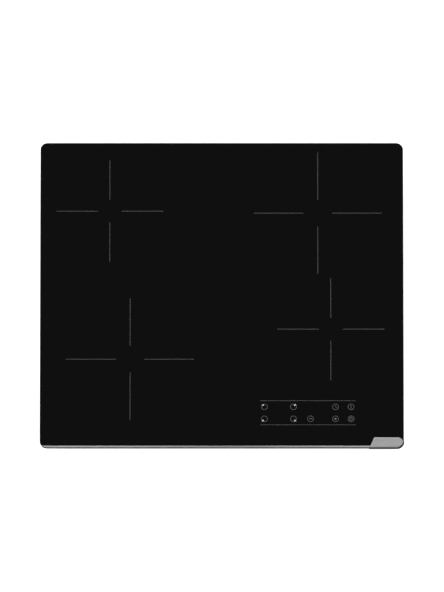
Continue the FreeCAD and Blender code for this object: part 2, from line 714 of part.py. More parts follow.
def make_rating_plate():
    """Blank plate stuck on the tray's rear wall."""
    y = TRAY_Y
    width, height, thickness = RATING
    z = LEDGE_Z + RATING_LIFT
    plate = box(-RATING_X, -RATING_X + width, y, y + thickness, z, z + height)
    corners = [e for e in plate.Edges if abs(e.tangentAt(e.FirstParameter).y) > 0.999]
    return plate.makeFillet(RATING_CORNER_R, corners)


def make_earth_stud():
    x = BOX_W / 2 + STUD_AT[0]
    y = BOX_REAR - STUD_AT[1]
    washer_r, washer_t = STUD_WASHER
    nut_z = FLOOR_TOP_Z + washer_t
    washer = cylinder(washer_r, x, y, FLOOR_TOP_Z, nut_z)
    stud = cylinder(STUD_R, x, y, FLOOR_TOP_Z, FLOOR_TOP_Z + STUD_LEN)
    angles = [math.radians(60 * i) for i in range(6)]
    corners = [(x + STUD_NUT_R * math.cos(a), y + STUD_NUT_R * math.sin(a)) for a in angles]
    return fuse([stud, washer, prism(corners, nut_z, nut_z + STUD_NUT_H)])


# --- Coils ---------------------------------------------------------------------------------
def spokes_at(cx, cy, solid, first=0.0):
    step = 360.0 / SPOKES
    return [turned(solid, first + step * (i + 0.5), cx, cy) for i in range(SPOKES)]


def peg_spots(cx, cy, radius):
    """Three pegs just inside a carrier's rim."""
    at = radius - PEG_INSET
    angles = [math.radians(a) for a in PEG_ANGLES]
    return [(cx + at * math.cos(a), cy + at * math.sin(a)) for a in angles]


def coil_turns(radius):
    """Whole turns that fit on a carrier."""
    return int((radius - COIL_INNER_R - COIL_EDGE) / COIL_PITCH)


def make_coil_carrier(cx, cy, radius):
    """Moulded wheel: rim, hub, spokes with ferrite pockets, locating pegs."""
    rim = tube(radius, radius - CARRIER_WALL, cx, cy, CARRIER_Z, CARRIER_TOP_Z)
    eye_r = COIL_INNER_R - 1
    outer_band = tube(radius, radius - CARRIER_BAND, cx, cy, CARRIER_PLATE_Z, CARRIER_TOP_Z)
    inner_band = tube(eye_r, eye_r - CARRIER_BAND, cx, cy, CARRIER_PLATE_Z, CARRIER_TOP_Z)
    inner_rim = tube(eye_r, eye_r - CARRIER_WALL, cx, cy, CARRIER_Z, COIL_TOP_Z)
    hub = tube(HUB_R, SENSOR_R + FIT, cx, cy, CARRIER_Z, CARRIER_TOP_Z)
    half = SPOKE_W / 2
    spoke = box(cx + eye_r - 1, cx + radius - 2, cy - half, cy + half, CARRIER_PLATE_Z, CARRIER_TOP_Z)
    spoke = spoke.common(cylinder(radius - 1, cx, cy, CARRIER_PLATE_Z, CARRIER_TOP_Z))
    half_arm = HUB_ARM_W / 2
    arm = box(cx + HUB_R - 1, cx + eye_r - 1, cy - half_arm, cy + half_arm, CARRIER_PLATE_Z, CARRIER_TOP_Z)
    pocket_y = FERRITE_W / 2 + FIT
    wall_x0 = cx + COIL_INNER_R + 2
    wall_x1 = cx + radius - CARRIER_WALL
    walls = []
    for side in (-1, 1):
        y0, y1 = sorted((cy + side * pocket_y, cy + side * (pocket_y + CARRIER_WALL)))
        walls.append(box(wall_x0, wall_x1, y0, y1, CARRIER_PLATE_Z - FERRITE_T, CARRIER_TOP_Z))
    pegs = []
    for x, y in peg_spots(cx, cy, radius):
        pegs.append(cylinder(PEG_R, x, y, PLATE_Z - PEG_REACH, CARRIER_TOP_Z))
        pegs.append(cylinder(PEG_R + PEG_SHOULDER, x, y, CARRIER_Z, CARRIER_TOP_Z))
    solids = [rim, outer_band, inner_band, inner_rim, hub]
    solids += spokes_at(cx, cy, spoke) + spokes_at(cx, cy, arm)
    for wall in walls:
        solids += spokes_at(cx, cy, wall)
    return single(fuse(solids + pegs))


def make_coil_winding(cx, cy, turns):
    """Flat litz winding: half turns about two centres, so each turn steps out by one pitch."""
    edges = []
    step = COIL_PITCH / 2
    start_x = cx + COIL_INNER_R + COIL_WIRE_W / 2 + SEAT
    z = COIL_Z
    x = start_x
    for i in range(2 * turns):
        radius = start_x - cx + step / 2 + i * step
        side = 1 if i % 2 == 0 else -1
        centre = V(x - side * radius, cy, z)
        end = V(x - side * 2 * radius, cy, z)
        edges.append(Part.Arc(V(x, cy, z), centre + V(0, -side * radius, 0), end).toShape())
        x = end.x
    half = COIL_WIRE_W / 2
    corners = [V(start_x - half, cy, z), V(start_x + half, cy, z), V(start_x + half, cy, z + COIL_WIRE_H)]
    corners.append(V(start_x - half, cy, z + COIL_WIRE_H))
    profile = Part.Face(Part.makePolygon(corners + corners[:1]))
    return Part.Wire(edges).makePipe(profile)


def make_ferrite_bars():
    bars = []
    top = CARRIER_PLATE_Z - SLIP
    half = FERRITE_W / 2
    for _, cx, cy, radius in ZONES:
        x0 = cx + COIL_INNER_R + FERRITE_INSETS[0]
        bar = box(x0, cx + radius - FERRITE_INSETS[1], cy - half, cy + half, top - FERRITE_T, top)
        bars += spokes_at(cx, cy, bar)
    return Part.makeCompound(bars)


def make_mica_discs():
    return Part.makeCompound([
        tube(radius, SENSOR_R + 1, cx, cy, MICA_Z, MICA_TOP_Z) for _, cx, cy, radius in ZONES
    ])


def make_ntc_sensors():
    sensors = []
    for _, cx, cy, _ in ZONES:
        body = cylinder(SENSOR_R, cx, cy, CARRIER_Z - 1, GLASS_Z - FIT)
        top = [e for e in edges_at(body, GLASS_Z - FIT)]
        sensors.append(body.makeFillet(1.0, top))
    return Part.makeCompound(sensors)


def leaf_spring(x, y):
    """Bowed strip between a coil plate and a coil carrier, with flat ends."""
    half = SPRING_LEN / 2
    rise = CARRIER_Z - PLATE_TOP_Z - FIT - SPRING_T
    z = PLATE_TOP_Z
    lower = Part.Arc(V(-half, 0, z), V(0, 0, z + rise), V(half, 0, z)).toShape()
    over = z + SPRING_T
    upper = Part.Arc(V(half, 0, over), V(0, 0, over + rise), V(-half, 0, over)).toShape()
    right = Part.LineSegment(V(half, 0, z), V(half, 0, over)).toShape()
    left = Part.LineSegment(V(-half, 0, over), V(-half, 0, z)).toShape()
    strip = Part.Face(Part.Wire([lower, right, upper, left])).extrude(V(0, SPRING_W, 0))
    return moved(strip, x, y - SPRING_W / 2)


def make_coil_springs():
    springs = []
    for _, cx, cy, radius in ZONES:
        rim_mid = radius - CARRIER_WALL / 2
        for degrees in SPRING_ANGLES:
            x = cx + rim_mid * math.cos(math.radians(degrees))
            y = cy + rim_mid * math.sin(math.radians(degrees))
            springs.append(turned(leaf_spring(x, y), degrees + 90, x, y))
    return Part.makeCompound(springs)


def make_coil_plate(side, front):
    """Aluminium plate that carries two coils and shields the boards under it."""
    inner = PLATE_GAP / 2
    outer = TRAY_IN_X - PLATE_EDGE
    x0, x1 = (inner, outer) if side > 0 else (-outer, -inner)
    plate = rounded_block(x0, x1, front, TRAY_IN_Y - PLATE_EDGE, PLATE_CORNER_R, PLATE_Z, PLATE_TOP_Z)
    screw_r = SCREW_R + HOLE_PLAY
    holes = [cylinder(screw_r, x, y, PLATE_Z, PLATE_TOP_Z) for x, y in plate_post_spots(side)]
    for _, cx, cy, radius in ZONES:
        if cx * side > 0:
            holes.append(cylinder(HUB_R + HUB_CLEAR, cx, cy, PLATE_Z, PLATE_TOP_Z))
            holes += [cylinder(PEG_R + 1, x, y, PLATE_Z, PLATE_TOP_Z) for x, y in peg_spots(cx, cy, radius)]
            for x, y in lead_holes(cx, cy, radius):
                holes.append(cylinder(LEAD_R + LEAD_PLAY, x, y, PLATE_Z, PLATE_TOP_Z))
    return cut_all(plate, holes)


def make_plate_posts():
    bottom = FLOOR_TOP_Z
    posts = []
    for x, y in post_spots():
        post = cylinder(POST_R, x, y, bottom, PLATE_Z)
        posts.append(post.cut(cylinder(SCREW_R + SLIP, x, y, PLATE_Z - POST_SCREW_LEN - 1, PLATE_Z)))
    return Part.makeCompound(posts)


# --- Boards --------------------------------------------------------------------------------
def power_board_outline(side, front):
    x0, x1 = sorted((side * BOARD_INNER, side * BOARD_OUTER))
    return x0, x1, front, BOARD_REAR


def filter_board_outline():
    return -FILTER_W / 2, FILTER_W / 2, FILTER_Y[0], FILTER_Y[1]


def board_outlines():
    return (
        power_board_outline(-1, BOARD_FRONT[0]),
        power_board_outline(1, BOARD_FRONT[1]),
        filter_board_outline(),
    )


def board_holes(outline):
    x0, x1, y0, y1 = outline
    inset = BOARD_HOLE_INSET
    return [(x, y) for x in (x0 + inset, x1 - inset) for y in (y0 + inset, (y0 + y1) / 2, y1 - inset)]


def make_board(outline):
    x0, x1, y0, y1 = outline
    board = rounded_block(x0, x1, y0, y1, BOARD_CORNER_R, BOARD_Z, BOARD_TOP_Z)
    holes = [cylinder(BOARD_HOLE_R, x, y, BOARD_Z, BOARD_TOP_Z) for x, y in board_holes(outline)]
    return cut_all(board, holes)


def make_power_board(side, front):
    """Board with the brass lugs that the coil leads end in."""
    board = make_board(power_board_outline(side, front))
    lugs = []
    for x, y in lug_spots(side):
        lug = box(x - LUG / 2, x + LUG / 2, y - LUG / 2, y + LUG / 2, BOARD_TOP_Z, LUG_Z + LUG / 2)
        lugs.append(lug.makeFillet(0.8, upright_edges(lug)))
    return Part.makeCompound([board] + lugs)


def make_board_spacers():
    spacers = []
    for outline in board_outlines():
        for x, y in board_holes(outline):
            foot = cylinder(SPACER_R, x, y, FLOOR_TOP_Z, BOARD_Z)
            nose = cylinder(BOARD_HOLE_R - SLIP, x, y, BOARD_Z, BOARD_TOP_Z + 2)
            spacers.append(fuse([foot, nose]))
    return Part.makeCompound(spacers)


def make_heatsink(side):
    """Extruded comb of fins on a base, with the air running along Y."""
    x0 = side * SINK_X - SINK_W / 2
    y1 = SINK_REAR
    y0 = y1 - SINK_LEN
    z0 = BOARD_TOP_Z
    solids = [box(x0, x0 + SINK_W, y0, y1, z0, z0 + SINK_BASE_T)]
    step = (SINK_W - SINK_FIN_T) / (SINK_FINS - 1)
    for i in range(SINK_FINS):
        x = x0 + i * step
        solids.append(box(x, x + SINK_FIN_T, y0, y1, z0, z0 + SINK_H))
    return fuse(solids)


def power_device(x, y, side):
    """Flat-bodied transistor or bridge against the heatsink, with three legs in the board."""
    face = x
    x0, x1 = sorted((face, face - side * DEVICE_T))
    z0 = BOARD_TOP_Z + DEVICE_LIFT
    body = box(x0, x1, y - DEVICE_W / 2, y + DEVICE_W / 2, z0, z0 + DEVICE_H)
    mid = (x0 + x1) / 2
    legs = []
    for step in (-1, 0, 1):
        leg_y = y + step * DEVICE_LEG_PITCH - DEVICE_LEG_W / 2
        legs.append(box(mid - 0.4, mid + 0.4, leg_y, leg_y + DEVICE_LEG_W, BOARD_TOP_Z, z0))
    return fuse([body] + legs)


def make_power_semiconductors():
    devices = []
    for side in (-1, 1):
        face = side * (SINK_X - SINK_W / 2)
        for i in range(DEVICES):
            y = SINK_REAR - DEVICE_SETBACK - i * DEVICE_PITCH
            devices.append(power_device(face - side * SLIP, y, side))
    return Part.makeCompound(devices)


def film_capacitor(x, y):
    length, width, height = FILM_CAP
    x0 = x - length / 2
    y0 = y - width / 2
    can = box(x0, x0 + length, y0, y0 + width, BOARD_TOP_Z, BOARD_TOP_Z + height)
    return can.makeFillet(1.2, upright_edges(can))


def make_film_capacitors():
    cans = []
    for side, front in ((-1, BOARD_FRONT[0]), (1, BOARD_FRONT[1])):
        for column in FILM_CAP_COLUMNS:
            for row in range(3):
                y = front + FILM_CAP_FRONT + row * FILM_CAP_PITCH
                cans.append(film_capacitor(side * (BOARD_OUTER - column), y))
    for row in range(3):
        y = FILTER_Y[0] + 2 * FILM_CAP_FRONT + row * FILM_CAP_PITCH
        cans.append(film_capacitor(-BEAD_MIDDLE, y))
    return Part.makeCompound(cans)


def choke(x, y):
    """Toroid core with a winding bundle on each side."""
    z0 = BOARD_TOP_Z
    wire = CHOKE_WIRE
    core = tube(CHOKE_R, CHOKE_R - CHOKE_CORE_W, x, y, z0 + wire, z0 + CHOKE_H)
    reach = CHOKE_R + 2 * wire
    bundles = []
    for side in (-1, 1):
        wrap = tube(CHOKE_R + wire, CHOKE_R - CHOKE_CORE_W - wire, x, y, z0, z0 + CHOKE_H + wire)
        x0, x1 = sorted((x + side * CHOKE_PARTING, x + side * reach))
        bundles.append(wrap.common(box(x0, x1, y - reach, y + reach, z0, z0 + CHOKE_H + 2 * wire)))
    return single(fuse([core] + bundles))


def make_chokes():
    from_inner, from_front = CHOKE_AT
    x = BOARD_INNER + from_inner
    spots = [(-x, BOARD_FRONT[0] + from_front), (x, BOARD_FRONT[1] + from_front)]
    spots += [(FILTER_W / 4, FILTER_Y[0] + at) for at in FILTER_CHOKES_AT]
    return Part.makeCompound([choke(x, y) for x, y in spots])


# --- Wiring held inside --------------------------------------------------------------------
def lead_side(cx):
    """Each coil's leads leave it towards the middle of the hob."""
    return 1 if cx < 0 else -1


def lead_holes(cx, cy, radius):
    """Where the inner and outer leads of a coil drop through the plate."""
    way = lead_side(cx)
    inner = cx + way * (HUB_R + LEAD_HOLE_IN)
    outer = cx + way * (radius - LEAD_HOLE_OUT)
    return ((inner, cy), (outer, cy))


def lug_spots(side):
    """Two lugs for each coil on this side's board, at the board's inner edge."""
    spots = []
    for _, cx, cy, _ in ZONES:
        if cx * side > 0:
            x = side * (BOARD_INNER + LUG_INSET)
            y = min(cy, BOARD_REAR - 2) - LUG_SETBACK
            spots += [(x, y), (x, y - LUG_PITCH)]
    return spots


def make_coil_leads():
    leads = []
    for side in (-1, 1):
        lugs = lug_spots(side)
        zones = [z for z in ZONES if z[1] * side > 0]
        for k, (_, cx, cy, radius) in enumerate(zones):
            for j, (x, y) in enumerate(lead_holes(cx, cy, radius)):
                lug_x, lug_y = lugs[2 * k + j]
                run_z = LEAD_RUN_Z - j * LEAD_STACK
                drop_x = lug_x + side * LEAD_DROP
                points = [V(x, y, COIL_Z - 1.0), V(x, y, run_z), V(drop_x, lug_y, run_z)]
                points += [V(drop_x, lug_y, LUG_Z), V(lug_x + side * LUG / 2, lug_y, LUG_Z)]
                leads.append(round_lead(points, LEAD_BEND))
    return Part.makeCompound(leads)


def make_mains_leads():
    """Two leads from the terminal block to the filter board, and one on to each power board."""
    leads = []
    low = BOARD_TOP_Z
    landing = FILTER_Y[1] - MAINS_LEAD_LANDING
    block_front = block_bounds()[2]
    for side in (-1, 1):
        x = side * MAINS_LEAD_X
        route = [V(x, block_front, MAINS_LEAD_Z), V(x, landing, MAINS_LEAD_Z), V(x, landing, low)]
        leads.append(round_lead(route, MAINS_LEAD_BEND))
        top = low + LINK_LEAD_RISE
        ends = (side * (FILTER_W / 2 - LINK_LEAD_ENDS[0]), side * (BOARD_INNER + LINK_LEAD_ENDS[1]))
        over = [V(ends[0], LINK_LEAD_Y, low), V(ends[0], LINK_LEAD_Y, top)]
        over += [V(ends[1], LINK_LEAD_Y, top), V(ends[1], LINK_LEAD_Y, low)]
        leads.append(round_lead(over, LEAD_BEND))
    return Part.makeCompound(leads)


# --- Fans ----------------------------------------------------------------------------------
def fan_shell(inset, x, y, z0, z1):
    """Round chamber with a straight outlet towards the heatsink."""
    radius = FAN_CASE_R - inset
    half = FAN_OUTLET_W / 2 - inset
    chamber = cylinder(radius, x, y, z0, z1)
    outlet = box(x - half, x + half, y - FAN_OUTLET_LEN - inset, y, z0, z1)
    return fuse([chamber, outlet])


def make_fan_housing(x, y):
    outer = fan_shell(0.0, x, y, FAN_Z, FAN_TOP_Z)
    inner = fan_shell(FAN_WALL, x, y, FAN_Z + FAN_WALL, FAN_TOP_Z - FAN_WALL)
    mouth_y = y - FAN_OUTLET_LEN
    half = FAN_OUTLET_W / 2 - FAN_WALL
    mouth_rear = mouth_y + FAN_MOUTH_WALL
    mouth = box(x - half, x + half, mouth_y - 1, mouth_rear, FAN_Z + FAN_WALL, FAN_TOP_Z - FAN_WALL)
    inlet = cylinder(FAN_INLET_R, x, y, FAN_Z, FAN_Z + FAN_WALL)
    return single(outer.cut(inner).cut(mouth).cut(inlet))


def make_fan_rotor(x, y):
    """Radial wheel: cup over the motor, disc, leaning blades and a bottom ring."""
    top = FAN_TOP_Z - FAN_WALL - ROTOR_HEAD_GAP
    bottom = top - ROTOR_H
    cup_floor = top - STATOR_H - ROTOR_CUP_GAP
    cup = tube(ROTOR_CUP_R, ROTOR_CUP_R - ROTOR_CUP_WALL, x, y, cup_floor, top)
    floor = cylinder(ROTOR_CUP_R, x, y, cup_floor - ROTOR_DISC_T, cup_floor)
    hub = cylinder(FAN_HUB_R, x, y, cup_floor - FAN_HUB_LEN, cup_floor)
    disc = tube(ROTOR_R, ROTOR_CUP_R - ROTOR_CUP_WALL, x, y, top - ROTOR_DISC_T, top)
    ring_w, ring_h = ROTOR_RING
    ring = tube(ROTOR_R, ROTOR_R - ring_w, x, y, bottom, bottom + ring_h)
    reach = (ROTOR_R - ROTOR_BLADE_R) / math.cos(math.radians(ROTOR_LEAN)) * ROTOR_BLADE_SHARE
    y0 = y - ROTOR_BLADE_T / 2
    blade = box(x, x + reach, y0, y0 + ROTOR_BLADE_T, bottom, top)
    blade = moved(turned(blade, ROTOR_LEAN, x, y), x=ROTOR_BLADE_R)
    blades = [turned(blade, 360.0 * i / ROTOR_BLADES, x, y) for i in range(ROTOR_BLADES)]
    wheel = fuse([cup, floor, hub, disc, ring] + blades)
    wheel = wheel.common(cylinder(ROTOR_R, x, y, bottom - FAN_HUB_LEN, top))
    return single(wheel.cut(cylinder(FAN_SHAFT_R + SLIP, x, y, bottom - FAN_HUB_LEN, top)))


def make_fan_motors():
    motors = []
    roof = FAN_TOP_Z - FAN_WALL
    for x, y in fan_spots():
        stator = cylinder(STATOR_R, x, y, roof - STATOR_H - ROTOR_HEAD_GAP, roof)
        shaft = cylinder(FAN_SHAFT_R, x, y, roof - STATOR_H - FAN_SHAFT_REACH, roof)
        motors.append(fuse([stator, shaft]))
    return Part.makeCompound(motors)


# --- Touch controls ------------------------------------------------------------------------
def make_touch_holder():
    """Moulded tray under the key symbols, on four legs."""
    x0 = TOUCH_X - TOUCH_W / 2
    x1 = TOUCH_X + TOUCH_W / 2
    y0 = TOUCH_Y - TOUCH_D / 2
    y1 = TOUCH_Y + TOUCH_D / 2
    t = TOUCH_WALL
    shell = rounded_block(x0, x1, y0, y1, 3.0, TOUCH_Z, GLASS_Z - SEAT)
    hollow = rounded_block(x0 + t, x1 - t, y0 + t, y1 - t, 3.0 - t, TOUCH_Z + t, GLASS_Z + 1)
    half, in_front, in_rear = TOUCH_WINDOW
    window = box(RIBBON_X - half, RIBBON_X + half, y0 + in_front, y1 - in_rear, TOUCH_Z - 1, TOUCH_Z + t + 1)
    solids = [shell.cut(hollow).cut(window)]
    inset = TOUCH_LEG_INSET
    for x in (x0 + inset, x1 - inset):
        for y in (y0 + inset, y1 - inset):
            solids.append(cylinder(TOUCH_LEG_R, x, y, FLOOR_TOP_Z, TOUCH_Z + t))
            solids.append(cylinder(TOUCH_REST_R, x, y, TOUCH_Z + t, TOUCH_BOARD_Z))
    return single(fuse(solids))


def make_touch_board():
    gap = TOUCH_WALL + SEAT
    x0 = TOUCH_X - TOUCH_W / 2 + gap
    x1 = TOUCH_X + TOUCH_W / 2 - gap
    y0 = TOUCH_Y - TOUCH_D / 2 + gap
    y1 = TOUCH_Y + TOUCH_D / 2 - gap
    return rounded_block(x0, x1, y0, y1, 1.0, TOUCH_BOARD_Z, TOUCH_BOARD_Z + BOARD_T)


def key_spots():
    """Key centres: both rows share the columns, and the lower row also has the minus key."""
    spots = [(x, y) for y in KEY_ROWS for x in KEY_COLUMNS]
    return spots + [(TOUCH_X + MINUS_KEY_SHIFT, KEY_ROWS[1])]


def make_touch_pads():
    bottom = TOUCH_BOARD_Z + BOARD_T
    top = GLASS_Z - SLIP
    return Part.makeCompound([cylinder(PAD_R, x, y, bottom, top) for x, y in key_spots()])


def make_display_modules():
    width, depth, height = DISPLAY
    z0 = TOUCH_BOARD_Z + BOARD_T
    places = [(TOUCH_X + shift, y, width) for shift in DISPLAY_SHIFTS for y in KEY_ROWS]
    places.append((TOUCH_X + TIMER_SHIFT, KEY_ROWS[0], TIMER_W))
    cans = []
    for x, y, w in places:
        can = box(x - w / 2, x + w / 2, y - depth / 2, y + depth / 2, z0, z0 + height)
        cans.append(can.makeFillet(0.6, upright_edges(can)))
    return Part.makeCompound(cans)


def make_ribbon_cable():
    """Flat cable from under the touch board down to the right power board."""
    y0 = TOUCH_Y
    y1 = BOARD_FRONT[1] + RIBBON_LANDING
    z1 = BOARD_TOP_Z
    run_z = (TOUCH_BOARD_Z + z1) / 2 - RIBBON_SAG
    route = [V(RIBBON_X, y, z) for y, z in ((y0, TOUCH_BOARD_Z), (y0, run_z), (y1, run_z), (y1, z1))]
    half_w = RIBBON_W / 2
    half_t = RIBBON_T / 2
    z = TOUCH_BOARD_Z
    corners = [V(RIBBON_X - half_w, y0 - half_t, z), V(RIBBON_X + half_w, y0 - half_t, z)]
    corners += [V(RIBBON_X + half_w, y0 + half_t, z), V(RIBBON_X - half_w, y0 + half_t, z)]
    profile = Part.Face(Part.makePolygon(corners + corners[:1]))
    return rounded_route(route, RIBBON_BEND).makePipe(profile)


# --- Mains terminal box --------------------------------------------------------------------
def make_terminal_box():
    """Moulded box over the tray's rear opening, with ears for the cover's hinge pin."""
    half = BOX_W / 2
    t = BOX_WALL
    shell = rounded_block(-half, half, BOX_FRONT, BOX_REAR, BOX_CORNER_R, FLOOR_TOP_Z, BOX_TOP_Z)
    x = half - t
    inner_r = BOX_CORNER_R - t
    hollow = rounded_block(-x, x, BOX_FRONT + t, BOX_REAR - t, inner_r, FLOOR_TOP_Z - 1, BOX_TOP_Z - t)
    solids = [shell.cut(hollow)]
    for side in (-1, 1):
        x0, x1 = sorted((side * (OPEN_X + FIT), side * (half - t / 2)))
        solids.append(box(x0, x1, HINGE_Y - EAR_HALF, HINGE_Y + EAR_HALF, FLOOR_TOP_Z, HINGE_Z + EAR_HALF))
    body = fuse(solids)
    pin_x = OPEN_X + PIN_HOLD + PIN_END_PLAY
    pin_start = V(-pin_x, HINGE_Y, HINGE_Z)
    body = body.cut(cylinder_along(V(1, 0, 0), HINGE_PIN_R + SLIP / 2, pin_start, 2 * pin_x))
    back = V(0, 1, 0)
    passages = []
    for side in (-1, 1):
        start = V(side * MAINS_LEAD_X, BOX_FRONT - 1, MAINS_LEAD_Z)
        passages.append(cylinder_along(back, LEAD_R + HOLE_PLAY, start, t + 2))
    return single(body.cut(cable_hole(BUSHING_R + SLIP)).cut(Part.makeCompound(passages)))


def make_cover_pin():
    length = 2 * (OPEN_X + PIN_HOLD)
    return cylinder_along(V(1, 0, 0), HINGE_PIN_R, V(-length / 2, HINGE_Y, HINGE_Z), length)


def make_terminal_cover():
    """Flush lid in the tray's underside, with a full-length hinge barrel and stiffening ribs."""
    half = OPEN_X - COVER_PLAY
    rear = OPEN_REAR - COVER_PLAY
    z0 = FLOOR_Z + COVER_RECESS
    plate = box(-half, half, HINGE_Y, rear, z0, z0 + COVER_T)
    rear_corners = [e for e in upright_edges(plate) if e.BoundBox.YMin > rear - 1]
    plate = plate.makeFillet(COVER_CORNER_R, rear_corners)
    barrel = cylinder_along(V(1, 0, 0), HINGE_R, V(-half, HINGE_Y, HINGE_Z), 2 * half)
    solids = [plate, barrel]
    rib_w, rib_h = COVER_RIB
    from_side, from_hinge, from_rear = COVER_RIB_INSETS
    rib_z = z0 + COVER_T
    for x in (-half + from_side, 0.0, half - from_side):
        rib = box(x - rib_w / 2, x + rib_w / 2, HINGE_Y + from_hinge, rear - from_rear, rib_z, rib_z + rib_h)
        solids.append(rib)
    cover = fuse(solids)
    notch_w, notch_d = COVER_NOTCH
    notch = box(-notch_w / 2, notch_w / 2, rear - notch_d, rear + 1, z0 - 1, rib_z + 1)
    pin_hole = cylinder_along(V(1, 0, 0), HINGE_PIN_R + SLIP, V(-half - 1, HINGE_Y, HINGE_Z), 2 * half + 2)
    return single(cover.cut(pin_hole).cut(notch))


def block_bounds():
    length, depth, height = BLOCK
    front = BOX_FRONT + BOX_WALL + BLOCK_SETBACK
    ceiling = BOX_TOP_Z - BOX_WALL
    return -length / 2, length / 2, front, front + depth, ceiling - height, ceiling


def pole_spots():
    """Two rows of clamping screws, one row on each side of the block's middle."""
    x0, x1, y0, y1, _, _ = block_bounds()
    step = (x1 - x0) / BLOCK_POLES
    return [(x0 + step * (i + 0.5), (y0 + y1) / 2) for i in range(BLOCK_POLES)]


def make_terminal_block():
    x0, x1, y0, y1, z0, z1 = block_bounds()
    block = box(x0, x1, y0, y1, z0, z1)
    mouth_w, mouth_d, mouth_z, mouth_h = WIRE_MOUTH
    mouth_z += z0
    tools = []
    for x, y in pole_spots():
        tools.append(cylinder(TERMINAL_R + SLIP, x, y, z0 - 1, z1 - BLOCK_ROOF))
        half = mouth_w / 2
        tools.append(box(x - half, x + half, y1 - mouth_d, y1 + 1, mouth_z, mouth_z + mouth_h))
    step = (x1 - x0) / BLOCK_POLES
    slit_w, slit_d, slit_roof = POLE_SLIT
    for i in range(1, BLOCK_POLES):
        x = x0 + step * i - slit_w / 2
        tools.append(box(x, x + slit_w, y0 - 1, y0 + slit_d, z0 - 1, z1 - slit_roof))
    return single(block.cut(Part.makeCompound(tools)))


def make_terminal_links():
    """Two bridging strips under neighbouring screws."""
    _, _, _, _, z0, _ = block_bounds()
    spots = pole_spots()
    along, across = LINK_EDGE
    links = []
    for first in LINKED_POLES:
        (xa, y), (xb, _) = spots[first], spots[first + 1]
        strip = box(xa - along, xb + along, y - across, y + across, z0 - LINK_T, z0)
        holes = [cylinder(TERMINAL_R + SLIP, x, y, z0 - LINK_T, z0) for x in (xa, xb)]
        links.append(cut_all(strip.makeFillet(LINK_CORNER_R, upright_edges(strip)), holes))
    return Part.makeCompound(links)


def make_terminal_screws():
    _, _, _, _, z0, z1 = block_bounds()
    linked = [pole + step for pole in LINKED_POLES for step in (0, 1)]
    half_slot = TERMINAL_SLOT / 2
    screws = []
    for i, (x, y) in enumerate(pole_spots()):
        head_top = z0 - LINK_T if i in linked else z0
        head = cylinder(TERMINAL_HEAD_R, x, y, head_top - TERMINAL_HEAD_H, head_top)
        shank = cylinder(TERMINAL_R, x, y, head_top, z1 - TERMINAL_TIP)
        bottom = head_top - TERMINAL_HEAD_H
        x0, x1 = x - TERMINAL_HEAD_R, x + TERMINAL_HEAD_R
        slot = box(x0, x1, y - half_slot, y + half_slot, bottom, bottom + TERMINAL_SLOT)
        screws.append(fuse([head, shank]).cut(slot))
    return Part.makeCompound(screws)


def make_cable_bushing():
    """Flanged sleeve through the box and the tray's rear wall: the mains cable's way in."""
    y0 = BOX_REAR - BOX_WALL - BUSHING_FLANGE_T
    y1 = TRAY_Y + BUSHING_FLANGE_T
    along = V(0, 1, 0)
    sleeve = cylinder_along(along, BUSHING_R, V(0, y0, CABLE_Z), y1 - y0)
    outer = cylinder_along(along, BUSHING_FLANGE_R, V(0, TRAY_Y, CABLE_Z), BUSHING_FLANGE_T)
    inner = cylinder_along(along, BUSHING_FLANGE_R, V(0, y0, CABLE_Z), BUSHING_FLANGE_T)
    outer = outer.makeFillet(BUSHING_EDGE_R, [e for e in outer.Edges if abs(e.BoundBox.YMin - y1) < FLAT])
    bore = cylinder_along(along, CABLE_R, V(0, y0 - 1, CABLE_Z), y1 - y0 + 2)
    return single(fuse([sleeve, outer, inner]).cut(bore))


# --- Worktop clamps ------------------------------------------------------------------------
def make_clamp(x, y, way):
    """Stepped strip that swivels on its screw: flat arm, riser and gripping flange."""
    t = CLAMP_T
    low = CLAMP_ARM_Z
    high = GRIP_Z
    riser = CLAMP_RISER_AT
    profile = [
        (0, low), (riser, low), (riser, high - t), (CLAMP_REACH, high - t),
        (CLAMP_REACH, high), (riser - t, high), (riser - t, low + t), (0, low + t),
    ]
    half = CLAMP_W / 2
    wire = Part.makePolygon([V(x - half, y + way * u, w) for u, w in profile + profile[:1]])
    strip = Part.Face(wire).extrude(V(CLAMP_W, 0, 0))
    bends = [e for e in strip.Edges if e.BoundBox.XLength > CLAMP_W - 0.1]
    outer_bends = [
        e for e in bends
        if abs(abs(e.CenterOfMass.y - y) - riser) < 0.01 and abs(e.CenterOfMass.z - low) < 0.01
        or abs(abs(e.CenterOfMass.y - y) - riser + t) < 0.01 and abs(e.CenterOfMass.z - high) < 0.01
    ]
    strip = strip.makeFillet(CLAMP_BEND_R, outer_bends)
    strip = fuse([strip, cylinder(half, x, y, low, low + t)])
    return single(strip.cut(cylinder(CLAMP_SCREW_R + SLIP, x, y, low - 1, low + t + 1)))


def make_clamp_screws():
    screws = []
    head_top = CLAMP_ARM_Z - SLIP
    for _, x, y, _ in clamp_spots():
        head = cylinder(CLAMP_HEAD_R, x, y, head_top - CLAMP_HEAD_H, head_top)
        head = head.makeFillet(CLAMP_HEAD_EDGE_R, edges_at(head, head_top - CLAMP_HEAD_H))
        shank = cylinder(CLAMP_SCREW_R, x, y, head_top, -CLAMP_SCREW_TOP)
        bottom = head_top - CLAMP_HEAD_H
        across, blade, depth = CLAMP_RECESS
        screws.append(cut_all(fuse([head, shank]), cross_recess(across, blade, x, y, bottom, bottom + depth)))
    return Part.makeCompound(screws)


def make_clamp_nuts():
    """Rivet nuts in the tray's ledges, which the clamp screws turn in."""
    nuts = []
    for _, x, y, _ in clamp_spots():
        barrel = cylinder(NUT_R, x, y, LEDGE_TOP_Z, LEDGE_TOP_Z + NUT_H)
        nuts.append(barrel.cut(cylinder(CLAMP_SCREW_R + SLIP, x, y, LEDGE_TOP_Z, LEDGE_TOP_Z + NUT_H)))
    return Part.makeCompound(nuts)


